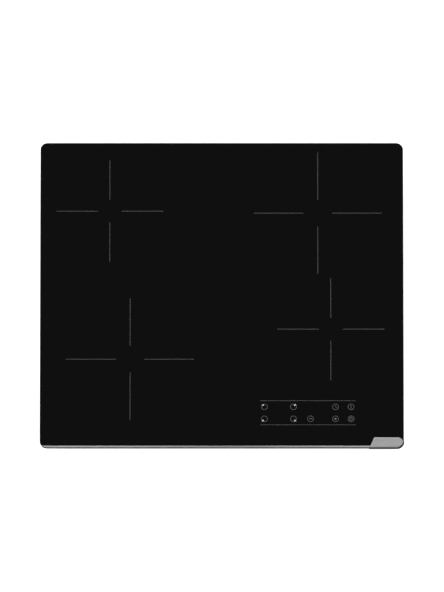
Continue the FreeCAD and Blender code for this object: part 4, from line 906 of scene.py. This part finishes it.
# Grey ribbon, ridged over each conductor.
@dataclass(frozen=True)
class RibbedRibbonPvc(Finish):
    """Flat ribbon cable, PVC extruded over parallel wires."""

    colour: str = "#9b9da0"
    roughness: float = 0.42
    pitch_mm: float = 1.27
    coarser: float = 2.0     # ridges are drawn this much wider than the wires lie, to show
    ridge_depth_mm: float = 0.3
    groove_shade_share: float = 0.55
    groove_end: float = 0.4

    def draw(self, tree: bpy.types.NodeTree, shader: bpy.types.Node, place: bpy.types.NodeSocket) -> None:
        """Adds one ridge for each wire across the ribbon, with painted shade in the grooves between.

        Args:
            tree: the material's nodes.
            shader: the surface's shader.
            place: where a point is on its piece, in metres.
        """
        ridge = self.coarser * self.pitch_mm * MM
        bands = {"Vector": place, "Scale": 2 * math.pi / (WAVE_TURN * ridge)}
        ridges = add_node(tree, "TexWave", bands, bands_direction="X")
        # Painted shade in the grooves between the ridges.
        stops = ((0.0, self.shaded(self.groove_shade_share)), (self.groove_end, self.shaded(1.0)))
        shade = add_node(tree, "ValToRGB", {"Fac": ridges.outputs["Fac"]}, stops)
        tree.links.new(shade.outputs["Color"], shader.inputs["Base Color"])
        relief = {"Height": ridges.outputs["Fac"], "Distance": self.ridge_depth_mm * MM}
        bump = add_node(tree, "Bump", relief)
        tree.links.new(bump.outputs[0], shader.inputs["Normal"])


@cache
def material_of(finish: Finish) -> bpy.types.Material:
    """Makes the finish's material, once."""
    return finish.make()


# --- Mesh helpers --------------------------------------------------------------------------
class Plane(Enum):
    """Which way a flat print faces, as the turn that lays it there from the ground plane."""

    UP = Matrix.Identity(4)
    REAR = Matrix.Rotation(math.pi, 4, "Z") @ Matrix.Rotation(math.pi / 2, 4, "X")


def islands(node: str) -> list[tuple[Vector, Vector]]:
    """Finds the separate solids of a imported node.

    Args:
        node: the node's name.

    Returns:
        The lowest and highest corner of each solid.
    """
    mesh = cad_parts[node].data
    key_of = [tuple(round(c / SAME) for c in v.co) for v in mesh.vertices]
    leader = {key: key for key in key_of}

    def find(key: tuple[int, ...]) -> tuple[int, ...]:
        """Finds the point that leads this point's solid.

        Args:
            key: a point, in steps of the smallest distance.

        Returns:
            The leading point.
        """
        while leader[key] != key:
            leader[key] = leader[leader[key]]
            key = leader[key]
        return key

    for polygon in mesh.polygons:
        first, *rest = (key_of[i] for i in polygon.vertices)
        for other in rest:
            leader[find(other)] = find(first)
    groups = defaultdict(list)
    for vertex, key in zip(mesh.vertices, key_of):
        groups[find(key)].append(vertex.co)
    corners = []
    for points in groups.values():
        low = Vector(min(p[i] for p in points) for i in range(3))
        high = Vector(max(p[i] for p in points) for i in range(3))
        corners.append((low, high))
    return corners


def middle(node: str) -> Vector:
    """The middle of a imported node's box."""
    low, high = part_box(node)
    return (low + high) / 2


def beside(point: Vector, right: float, back: float) -> Vector:
    """The point that lies so far to the right of another, and so far behind it."""
    return point + Vector((right, back, 0.0))


def arc_points(centre: Vector, radius: float, start: float, end: float, steps: int = 48) -> list[Vector]:
    """Works out points along an arc in the ground plane.

    Args:
        centre: the arc's middle.
        radius: its radius.
        start: where it starts, in degrees from +X.
        end: where it ends.
        steps: how many straight runs make it.

    Returns:
        The points, both ends included.
    """
    angles = [math.radians(start + (end - start) * i / steps) for i in range(steps + 1)]
    return [centre + Vector((math.cos(a), math.sin(a), 0.0)) * radius for a in angles]


def make_object(name: str, shape: bmesh.types.BMesh, material: bpy.types.Material) -> bpy.types.Object:
    """Turns a built shape into an object in the scene.

    Args:
        name: the object's name.
        shape: its mesh under construction, which is used up.
        material: its material.

    Returns:
        The object.
    """
    data = bpy.data.meshes.new(name)
    shape.to_mesh(data)
    shape.free()
    data.materials.append(material)
    made = bpy.data.objects.new(name, data)
    bpy.context.scene.collection.objects.link(made)
    return made


@dataclass
class Print:
    """Flat strokes of one colour, printed as a film of real thickness."""

    film: float = 0.04 * MM
    cap_steps: int = 6
    mesh: bmesh.types.BMesh = field(default_factory=bmesh.new)

    def _ribbon(self, stations: list[tuple[Vector, Vector, float]], closed: bool) -> None:
        """Skins a film over the stations of a line.

        Args:
            stations: the line's centre, direction and half width at each.
            closed: whether the last station meets the first.
        """
        up = Vector((0.0, 0.0, self.film))
        rings = []
        for centre, along, half in stations:
            side = Vector((-along.y, along.x, 0.0)) * half
            corners = (centre - side, centre + side, centre + side + up, centre - side + up)
            rings.append([self.mesh.verts.new(c) for c in corners])
        pairs = list(zip(rings, rings[1:]))
        if closed:
            pairs.append((rings[-1], rings[0]))
        for ring, after in pairs:
            for i in range(4):
                j = (i + 1) % 4
                self.mesh.faces.new((ring[i], ring[j], after[j], after[i]))
        if not closed:
            self.mesh.faces.new(rings[0][::-1])
            self.mesh.faces.new(rings[-1])

    def stroke(self, points: Sequence[Vector], width: float) -> None:
        """Draws an open line with round ends.

        Args:
            points: the line's points, at the film's underside.
            width: the line's width.
        """
        half = width / 2
        count = len(points)
        stations = []
        for i, point in enumerate(points):
            before, after = points[max(i - 1, 0)], points[min(i + 1, count - 1)]
            stations.append((point, (after - before).normalized(), half))
        lean = [math.pi / 2 * i / self.cap_steps for i in range(1, self.cap_steps)]
        start, along, _ = stations[0]
        first = [(start - along * half * math.sin(a), along, half * math.cos(a)) for a in reversed(lean)]
        end, along, _ = stations[-1]
        last = [(end + along * half * math.sin(a), along, half * math.cos(a)) for a in lean]
        self._ribbon(first + stations + last, closed=False)

    def arc(self, centre: Vector, radius: float, width: float, start: float, end: float) -> None:
        """Draws part of a ring, with round ends."""
        self.stroke(arc_points(centre, radius, start, end), width)

    def ring(self, centre: Vector, radius: float, width: float, steps: int = 64) -> None:
        """Draws a whole ring.

        Args:
            centre: the ring's middle.
            radius: the radius of its line's middle.
            width: its line's width.
            steps: how many straight runs make it.
        """
        points = arc_points(centre, radius, 0.0, FULL_TURN, steps)[:-1]
        turn = Matrix.Rotation(math.pi / 2, 3, "Z")
        stations = [(p, turn @ (p - centre).normalized(), width / 2) for p in points]
        self._ribbon(stations, closed=True)

    def dot(self, centre: Vector, diameter: float) -> None:
        """Draws a filled dot."""
        tiny = Vector((SAME, 0.0, 0.0))
        self.stroke((centre - tiny, centre + tiny), diameter)

    def make(
        self, name: str, finish: Finish, plane: Plane = Plane.UP, origin: Sequence[float] = (0.0, 0.0, 0.0)
    ) -> None:
        """Turns the strokes into a piece that rides on the hob.

        Args:
            name: the piece's name.
            finish: its finish.
            plane: which way it faces.
            origin: where the middle of its drawing goes.
        """
        turn = Matrix.Translation(origin) @ plane.value
        bmesh.ops.transform(self.mesh, matrix=turn, verts=self.mesh.verts)
        bmesh.ops.recalc_face_normals(self.mesh, faces=self.mesh.faces)
        piece = make_object(name, self.mesh, material_of(finish))
        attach(piece, HOB)
        log.info("made %s: %d faces, %s", name, len(piece.data.polygons), type(finish).__name__)


@dataclass
class SubAssembly:
    """Part of the hob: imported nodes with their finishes, and the pieces made for it here."""

    finishes: ClassVar[dict[str, Finish]] = {}

    def dress(self) -> None:
        """Gives each of the sub-assembly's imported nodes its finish."""
        for node, finish in self.finishes.items():
            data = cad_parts[node].data
            data.materials.clear()
            data.materials.append(material_of(finish))
            log.info("dressed %s: %s", node, type(finish).__name__)

    def build(self) -> None:
        """Builds the sub-assembly's own pieces: none unless a class says so."""


# --- Sub-assemblies ------------------------------------------------------------------------
class Corner(Enum):
    """One of the hob's corners, as the cook sees them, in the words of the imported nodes."""

    REAR_LEFT = "rear_left"
    REAR_RIGHT = "rear_right"
    FRONT_LEFT = "front_left"
    FRONT_RIGHT = "front_right"


@dataclass(frozen=True)
class ZoneMark:
    """Four hair lines that point at the middle of a cooking zone."""

    zone: Corner
    reach: float             # from the zone's middle to a line's far end
    gap: float               # and to its near end


@dataclass
class CookingSurface(SubAssembly):
    """Glass, its bond and frame, the seal under it, and the zone marks printed on it."""

    finishes: ClassVar[dict[str, Finish]] = {
        "glass_top": RolledGlassCeramic(),
        "glass_bond": CuredSilicone(),
        "glass_frame": HotDipGalvanisedSteel(),
        "worktop_gasket": ClosedCellFoam(),
    }
    marks: tuple[ZoneMark, ...] = (
        ZoneMark(Corner.REAR_LEFT, 87.0 * MM, 19.0 * MM),
        ZoneMark(Corner.REAR_RIGHT, 103.8 * MM, 23.0 * MM),
        ZoneMark(Corner.FRONT_LEFT, 103.8 * MM, 22.5 * MM),
        ZoneMark(Corner.FRONT_RIGHT, 87.0 * MM, 19.0 * MM),
    )
    line_width: float = 0.9 * MM

    def build(self) -> None:
        """Prints the four marks on the glass."""
        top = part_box("glass_top")[1].z
        for mark in self.marks:
            centre = middle("coil_carrier_" + mark.zone.value)
            centre.z = top
            lines = Print()
            for quarter in range(4):
                way = Matrix.Rotation(quarter * math.pi / 2, 3, "Z") @ Vector((1.0, 0.0, 0.0))
                inset = self.line_width / 2
                ends = (centre + way * (mark.gap + inset), centre + way * (mark.reach - inset))
                lines.stroke(ends, self.line_width)
            lines.make("zone_mark_" + mark.zone.value, ScreenPrintedEnamel())


@dataclass
class TouchPanel(SubAssembly):
    """Key symbols printed on the glass, and the boards and pads that sense a finger under it."""

    finishes: ClassVar[dict[str, Finish]] = {
        "touch_holder": MouldedAbs(),
        "touch_board": SolderMaskLaminate(),
        "touch_pads": ConductiveFoam(),
        "display_modules": SmokedPolycarbonate(),
        "ribbon_cable": RibbedRibbonPvc(),
    }
    print_shift: Vector = Vector((-0.5 * MM, 0.3 * MM, 0.0))    # from the pads to their print
    ring_radius: float = 4.8 * MM
    ring_width: float = 0.95 * MM
    dot_size: float = 3.0 * MM
    dot_reach: float = 4.3 * MM      # from a key's middle to the dot that names its zone
    dot_bearing: float = 51.0        # degrees above the level line, or below it
    stroke_width: float = 0.9 * MM
    rule_width: float = 0.7 * MM
    rule_side: float = 77.3 * MM     # rules, from the panel's middle to each end
    rule_rear: float = 20.6 * MM     # and from there back and forward
    rule_front: float = 20.4 * MM
    # Symbols, each from its key's middle: to the right, and back.
    clock_long_hand: tuple[float, float] = (0.0, 2.9 * MM)
    clock_short_hand: tuple[float, float] = (2.0 * MM, -1.3 * MM)
    lock_bow: float = 1.7 * MM       # the key's round end, above the middle
    lock_bow_radius: float = 0.9 * MM
    lock_bow_width: float = 0.8 * MM
    lock_neck: float = 1.2 * MM      # from there down to its shaft
    lock_tip: float = 3.1 * MM       # the shaft's end and its bit, under the middle
    lock_bit: float = 2.2 * MM
    lock_bit_reach: float = 1.0 * MM
    lock_bit_width: float = 0.7 * MM
    lock_shaft_width: float = 1.1 * MM
    minus_half: float = 2.3 * MM
    plus_half: float = 1.8 * MM
    power_radius: float = 2.6 * MM
    power_width: float = 0.72 * MM
    power_opening: float = 40.0      # degrees that its ring leaves open, each side of its bar
    power_bar: tuple[float, float] = (0.4 * MM, 3.2 * MM)
    minus_grey: str = "#6a6a6a"      # thin symbols are paler than the rings, or they would be lost
    plus_grey: str = "#7a7a7a"
    power_grey: str = "#585858"

    def key_places(self) -> list[list[Vector]]:
        """Finds the keys over their foam pads.

        Returns:
            The rear row and the front row, each from left to right, on the glass.
        """
        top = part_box("glass_top")[1].z
        pads = [(low + high) / 2 for low, high in islands("touch_pads")]
        split = sum(p.y for p in pads) / len(pads)
        rows = [[p for p in pads if p.y > split], [p for p in pads if p.y <= split]]
        on_glass = [[Vector((p.x, p.y, top)) + self.print_shift for p in row] for row in rows]
        return [sorted(row, key=lambda p: p.x) for row in on_glass]

    def build(self) -> None:
        """Prints the rules, the rings and a symbol in each ring."""
        rear, front = self.key_places()
        self.print_rules()
        for row, keys in (("rear", rear), ("front", front)):
            for number, key in enumerate(keys, start=1):
                ring = Print()
                ring.ring(key, self.ring_radius, self.ring_width)
                ring.make(f"key_ring_{row}_{number}", ScreenPrintedEnamel())
        rear_left, rear_right, timer, lock = rear
        front_left, front_right, less, more, power = front
        self.print_zone_dot(rear_left, Corner.REAR_LEFT, LEFT - self.dot_bearing)
        self.print_zone_dot(rear_right, Corner.REAR_RIGHT, self.dot_bearing)
        self.print_zone_dot(front_left, Corner.FRONT_LEFT, LEFT + self.dot_bearing)
        self.print_zone_dot(front_right, Corner.FRONT_RIGHT, -self.dot_bearing)
        self.print_clock(timer)
        self.print_key_lock(lock)
        self.print_minus(less)
        self.print_plus(more)
        self.print_power(power)

    def print_rules(self) -> None:
        """Prints the two rules that frame the keys."""
        panel = middle("touch_board")
        panel.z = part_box("glass_top")[1].z
        panel += self.print_shift
        rules = Print()
        for back in (self.rule_rear, -self.rule_front):
            ends = [beside(panel, right, back) for right in (-self.rule_side, self.rule_side)]
            rules.stroke(ends, self.rule_width)
        rules.make("panel_rules", ScreenPrintedEnamel())

    def print_zone_dot(self, key: Vector, zone: Corner, bearing: float) -> None:
        """Prints the white dot that says which zone a key is for.

        Args:
            key: the key's middle.
            zone: the zone's corner.
            bearing: where the dot is on the key, in degrees from its right.
        """
        mark = Print()
        mark.dot(arc_points(key, self.dot_reach, bearing, bearing, 1)[0], self.dot_size)
        mark.make("zone_dot_" + zone.value, WhiteFiredEnamel())

    def print_clock(self, key: Vector) -> None:
        """Prints two hands for the timer.

        Args:
            key: the key's middle.
        """
        hands = Print()
        ends = (beside(key, *self.clock_long_hand), key, beside(key, *self.clock_short_hand))
        hands.stroke(ends, self.stroke_width)
        hands.make("symbol_clock", ScreenPrintedEnamel())

    def print_key_lock(self, key: Vector) -> None:
        """Prints a small key, its round end up, for the lock.

        Args:
            key: the touch key's middle.
        """
        lock = Print()
        bow = beside(key, 0.0, self.lock_bow)
        lock.ring(bow, self.lock_bow_radius, self.lock_bow_width)
        shaft = (beside(bow, 0.0, -self.lock_neck), beside(key, 0.0, -self.lock_tip))
        lock.stroke(shaft, self.lock_shaft_width)
        bit = beside(key, 0.0, -self.lock_bit)
        lock.stroke((bit, beside(bit, self.lock_bit_reach, 0.0)), self.lock_bit_width)
        lock.make("symbol_key_lock", ScreenPrintedEnamel())

    def print_minus(self, key: Vector) -> None:
        """Prints a bar.

        Args:
            key: the key's middle.
        """
        bar = Print()
        ends = [beside(key, right, 0.0) for right in (-self.minus_half, self.minus_half)]
        bar.stroke(ends, self.stroke_width)
        bar.make("symbol_minus", ScreenPrintedEnamel(colour=self.minus_grey))

    def print_plus(self, key: Vector) -> None:
        """Prints a cross.

        Args:
            key: the key's middle.
        """
        plus = Print()
        for way in (Vector((self.plus_half, 0.0, 0.0)), Vector((0.0, self.plus_half, 0.0))):
            plus.stroke((key - way, key + way), self.stroke_width)
        plus.make("symbol_plus", ScreenPrintedEnamel(colour=self.plus_grey))

    def print_power(self, key: Vector) -> None:
        """Prints the broken ring and bar of the on and off key.

        Args:
            key: the key's middle.
        """
        power = Print()
        start, end = BACK + self.power_opening, BACK + FULL_TURN - self.power_opening
        power.arc(key, self.power_radius, self.power_width, start, end)
        power.stroke([beside(key, 0.0, back) for back in self.power_bar], self.stroke_width)
        power.make("symbol_power", ScreenPrintedEnamel(colour=self.power_grey))


@dataclass
class MetalTrim(SubAssembly):
    """The bar along the front edge and the cap on the front right corner."""

    finishes: ClassVar[dict[str, Finish]] = {
        "front_trim": BrushedAnodisedAluminium(),
        "corner_cap": BlastedAnodisedAluminium(),
    }


@dataclass
class SteelTray(SubAssembly):
    """The folded tray with its screws, its earth stud and its blank rating plate."""

    finishes: ClassVar[dict[str, Finish]] = {
        "base_tray": HotDipGalvanisedSteel(),
        "sheet_screws": ZincPlatedScrew(),
        "earth_stud": ZincPlatedScrew(),
        "rating_plate": SatinPolyesterFoil(),
    }
    plate_margin: float = 2.2 * MM       # from the rating plate's edge to its form
    plate_line: float = 0.4 * MM
    plate_rows: int = 4
    plate_column: float = -0.25      # where its column line stands, as a share of half its width
    plate_film: float = 0.03 * MM

    def build(self) -> None:
        """Prints an empty form on the rating plate: a frame, rows and one column, with no text."""
        low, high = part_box("rating_plate")
        centre = Vector(((low.x + high.x) / 2, high.y, (low.z + high.z) / 2))
        half_w = (high.x - low.x) / 2 - self.plate_margin
        half_h = (high.z - low.z) / 2 - self.plate_margin
        form = Print(film=self.plate_film)
        step = 2 * half_h / self.plate_rows
        for row in range(self.plate_rows + 1):
            y = -half_h + row * step
            form.stroke((Vector((-half_w, y, 0.0)), Vector((half_w, y, 0.0))), self.plate_line)
        for x in (-half_w, half_w * self.plate_column, half_w):
            form.stroke((Vector((x, -half_h, 0.0)), Vector((x, half_h, 0.0))), self.plate_line)
        form.make("rating_plate_form", LabelInk(), Plane.REAR, centre)


@dataclass
class WorktopClamps(SubAssembly):
    """Four swivelling clamps with their screws and rivet nuts."""

    finishes: ClassVar[dict[str, Finish]] = {
        **{"clamp_" + corner.value: ZincPlatedSteel() for corner in Corner},
        "clamp_screws": ZincPlatedScrew(),
        "clamp_nuts": ZincPlatedScrew(),
    }


@dataclass
class HeatingCoils(SubAssembly):
    """Four coils with their carriers, ferrites, springs, sensors and leads."""

    finishes: ClassVar[dict[str, Finish]] = {
        **{"coil_carrier_" + zone.value: GlassFilledPolyester() for zone in Corner},
        **{"coil_winding_" + zone.value: TwistedLitzCopper() for zone in Corner},
        "coil_plate_left": MillRolledAluminium(),
        "coil_plate_right": MillRolledAluminium(),
        "plate_posts": NaturalNylon(),
        "ferrite_bars": SinteredFerrite(),
        "mica_discs": PressedMica(),
        "coil_springs": BluedSpringSteel(),
        "ntc_sensors": RedSilicone(),
        "coil_leads": BraidedGlassSleeve(),
    }


@dataclass
class PowerElectronics(SubAssembly):
    """Boards, heatsinks, power devices and their wiring."""

    finishes: ClassVar[dict[str, Finish]] = {
        "power_board_left": SolderMaskLaminate(),
        "power_board_right": SolderMaskLaminate(),
        "filter_board": SolderMaskLaminate(),
        "board_spacers": NaturalNylon(),
        "heatsink_left": ExtrudedAluminium(),
        "heatsink_right": ExtrudedAluminium(),
        "power_semiconductors": MouldedEpoxy(),
        "film_capacitors": FilmCapacitorCase(),
        "chokes": EnamelledCopperWire(),
        "mains_leads": ExtrudedPvcSleeve(),
    }


@dataclass
class CoolingFans(SubAssembly):
    """Two radial fans: housings, wheels and motors."""

    finishes: ClassVar[dict[str, Finish]] = {
        "fan_housing_left": BlackPolybutylene(),
        "fan_housing_right": BlackPolybutylene(),
        "fan_rotor_left": CharcoalPolybutylene(),
        "fan_rotor_right": CharcoalPolybutylene(),
        "fan_motors": LaminatedMotorSteel(),
    }


@dataclass
class MainsTerminals(SubAssembly):
    """The terminal box in the tray's rear, its hinged cover, and the cable's bushing."""

    finishes: ClassVar[dict[str, Finish]] = {
        "terminal_box": GreyPolypropylene(),
        "terminal_cover": GreyPolypropylene(),
        "cover_pin": ZincPlatedScrew(),
        "terminal_block": CreamPolyamide(),
        "terminal_links": RolledBrass(),
        "terminal_screws": RolledBrass(),
        "cable_bushing": MouldedRubber(),
    }


# --- Studio --------------------------------------------------------------------------------
@dataclass(frozen=True)
class SoftBox:
    """A soft light far outside the hob, bright in its middle and fading to nothing."""

    bearing: float           # degrees; 0 is in front of the hob, 90 to its right
    elevation: float         # degrees above the horizon
    core: float              # degrees from its middle that are fully bright
    reach: float             # degrees from its middle to its last light
    strength: float

    def direction(self) -> Vector:
        """The unit vector from the hob to the light."""
        turn, rise = math.radians(self.bearing), math.radians(self.elevation)
        return Vector((math.sin(turn) * math.cos(rise), -math.cos(turn) * math.cos(rise), math.sin(rise)))


@dataclass
class Studio:
    """Pale floor, surroundings that are light at the horizon, soft boxes and the camera."""

    elevation: float = 72.0          # camera above the horizon, degrees
    lens_mm: float = 1200.0
    sensor_mm: float = 36.0
    nearest: float = 0.05            # what the camera draws, as shares of its distance
    furthest: float = 2.0
    view_height: float = 0.9613      # what the frame takes in from top to bottom, at the hob
    aim_right: float = 0.36 * MM     # where the camera looks, from the glass's middle
    aim_up: float = -2.7 * MM
    floor_colour: str = "#e4e4e4"
    floor_half: float = 60.0         # from the hob to the floor's edge
    floor_glow: float = 0.98         # light of its own, so that it stays white under a soft sky
    backdrop: float = 1.05           # the white that only the camera sees behind the hob
    # How high a direction points, from -1 straight down to 1 straight up, and its light.
    sky: tuple[tuple[float, float], ...] = (
        (-1.00, 0.10), (-0.80, 0.14), (-0.45, 0.50), (-0.25, 0.80), (-0.05, 0.95), (0.05, 0.75),
        (0.20, 0.40), (0.42, 0.25), (0.66, 0.15), (0.90, 0.093), (1.00, 0.085),
    )
    soft_boxes: tuple[SoftBox, ...] = (
        SoftBox(180.0, 40.0, 10.0, 26.0, 4.1),
        SoftBox(235.0, 46.0, 8.0, 20.0, 3.0),
        SoftBox(300.0, 48.0, 8.0, 22.0, 3.4),
        SoftBox(60.0, 44.0, 8.0, 22.0, 2.6),
    )
    wall_radius: float = 1.2         # cloth round the hob, which only its reflections show
    wall_height: float = 0.8
    wall_steps: int = 96
    # How far up the cloth, as a share of its height, and its light.
    wall_levels: tuple[tuple[float, float], ...] = (
        (0.0, 0.42), (0.10, 0.44), (0.30, 0.50), (0.55, 0.34), (0.85, 0.15), (1.0, 0.12),
    )

    def build(self) -> None:
        """Sets up the whole studio."""
        self.build_world()
        self.build_floor()
        self.build_wall()
        self.build_camera()
        scene = bpy.context.scene
        scene.view_settings.view_transform = "Standard"
        scene.view_settings.look = "None"

    def build_world(self) -> None:
        """Surrounds the hob with light: pale at the horizon, dark overhead, with soft boxes."""
        world = bpy.data.worlds.new("studio")
        world.use_nodes = True
        tree = world.node_tree
        tree.nodes.clear()
        way = add_node(tree, "TexCoord").outputs["Generated"]
        height = add_node(tree, "SeparateXYZ", {"Vector": way}).outputs["Z"]
        whole = {"From Min": -1.0, "From Max": 1.0, "To Min": 0.0, "To Max": 1.0}
        share = add_node(tree, "MapRange", {"Value": height, **whole})
        stops = [((z + 1) / 2, level) for z, level in self.sky]
        ramp = add_node(tree, "ValToRGB", {"Fac": share.outputs[0]}, stops)
        ramp.color_ramp.interpolation = "EASE"
        total = ramp.outputs["Color"]
        for box in self.soft_boxes:
            near = {0: way, 1: box.direction()}
            facing = add_node(tree, "VectorMath", near, operation="DOT_PRODUCT").outputs["Value"]
            edge, core = math.cos(math.radians(box.reach)), math.cos(math.radians(box.core))
            fade = {"From Min": edge, "From Max": core, "To Min": 0.0, "To Max": box.strength}
            glow = add_node(tree, "MapRange", {"Value": facing, **fade}, interpolation_type="SMOOTHSTEP")
            total = add_node(tree, "VectorMath", {0: total, 1: glow.outputs[0]}, operation="ADD").outputs[0]
        light = add_node(tree, "Background", {"Color": total, "Strength": 1.0})
        paper = add_node(tree, "Background", {"Color": linear("#ffffff"), "Strength": self.backdrop})
        seen = add_node(tree, "LightPath").outputs["Is Camera Ray"]
        both = add_node(tree, "MixShader", {0: seen, 1: light.outputs[0], 2: paper.outputs[0]})
        add_node(tree, "OutputWorld", {"Surface": both.outputs[0]})
        bpy.context.scene.world = world

    def build_floor(self) -> None:
        """Lays a pale floor under the tray, lit through so that it stays white around the hob."""
        material, tree = new_material("pale_floor")
        paper = linear(self.floor_colour)
        constants = {
            "Base Color": paper,
            "Roughness": 1.0,
            "Specular IOR Level": 0.0,
            "Emission Color": paper,
            "Emission Strength": self.floor_glow,
        }
        shader = add_node(tree, "BsdfPrincipled", constants)
        add_node(tree, "OutputMaterial", {"Surface": shader.outputs["BSDF"]})
        half, z = self.floor_half, CAD_BOX[0].z
        corners = ((-half, -half, z), (half, -half, z), (half, half, z), (-half, half, z))
        shape = bmesh.new()
        shape.faces.new([shape.verts.new(corner) for corner in corners])
        floor = self.stage("floor", shape, material)
        floor.visible_camera = True
        floor.visible_glossy = False

    def build_wall(self) -> None:
        """Stands a round white cloth about the hob, lit from below, for the glass to mirror."""
        material, tree = new_material("white_cloth")
        place = add_node(tree, "TexCoord").outputs["Object"]
        height = add_node(tree, "SeparateXYZ", {"Vector": place}).outputs["Z"]
        whole = {"From Min": 0.0, "From Max": self.wall_height, "To Min": 0.0, "To Max": 1.0}
        share = add_node(tree, "MapRange", {"Value": height, **whole})
        ramp = add_node(tree, "ValToRGB", {"Fac": share.outputs[0]}, self.wall_levels)
        ramp.color_ramp.interpolation = "EASE"
        glow = add_node(tree, "Emission", {"Color": ramp.outputs["Color"], "Strength": 1.0})
        add_node(tree, "OutputMaterial", {"Surface": glow.outputs[0]})
        shape = bmesh.new()
        foot = arc_points(Vector(), self.wall_radius, 0.0, FULL_TURN, self.wall_steps)[:-1]
        low = [shape.verts.new(p) for p in foot]
        high = [shape.verts.new(p + Vector((0.0, 0.0, self.wall_height))) for p in foot]
        for i in range(self.wall_steps):
            j = (i + 1) % self.wall_steps
            shape.faces.new((low[i], low[j], high[j], high[i]))
        self.stage("cloth_wall", shape, material)

    def stage(self, name: str, shape: bmesh.types.BMesh, material: bpy.types.Material) -> bpy.types.Object:
        """Adds a stage piece, which lights nothing but what mirrors it, and casts no shadow.

        Args:
            name: the piece's name.
            shape: its mesh under construction, which is used up.
            material: its material.

        Returns:
            The piece, hidden from the camera.
        """
        piece = make_object(name, shape, material)
        piece.visible_camera = False
        piece.visible_diffuse = False
        piece.visible_shadow = False
        return piece

    def build_camera(self) -> None:
        """Puts a long lens in front of the hob, high above it."""
        low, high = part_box("glass_top")
        lens = bpy.data.cameras.new("camera")
        lens.lens = self.lens_mm
        lens.sensor_width = self.sensor_mm
        distance = self.view_height * self.lens_mm / self.sensor_mm
        lens.clip_start = distance * self.nearest
        lens.clip_end = distance * self.furthest
        lean = math.radians(self.elevation)
        back = Vector((0.0, -math.cos(lean), math.sin(lean)))
        up = Vector((0.0, math.sin(lean), math.cos(lean)))
        aim = (low + high) / 2 + Vector((self.aim_right, 0.0, 0.0)) + up * self.aim_up
        camera = bpy.data.objects.new("camera", lens)
        camera.location = aim + back * distance
        camera.rotation_euler = (-back).to_track_quat("-Z", "Y").to_euler()
        bpy.context.scene.collection.objects.link(camera)
        bpy.context.scene.camera = camera


def main() -> None:
    """Builds and dresses each sub-assembly, then the studio around it."""
    logging.basicConfig(level=logging.INFO, format="%(message)s")
    sub_assemblies = (
        CookingSurface(), TouchPanel(), MetalTrim(), SteelTray(), WorktopClamps(),
        HeatingCoils(), PowerElectronics(), CoolingFans(), MainsTerminals(),
    )
    for sub_assembly in sub_assemblies:
        sub_assembly.dress()
        sub_assembly.build()
    Studio().build()


if __name__ == "__main__":
    main()
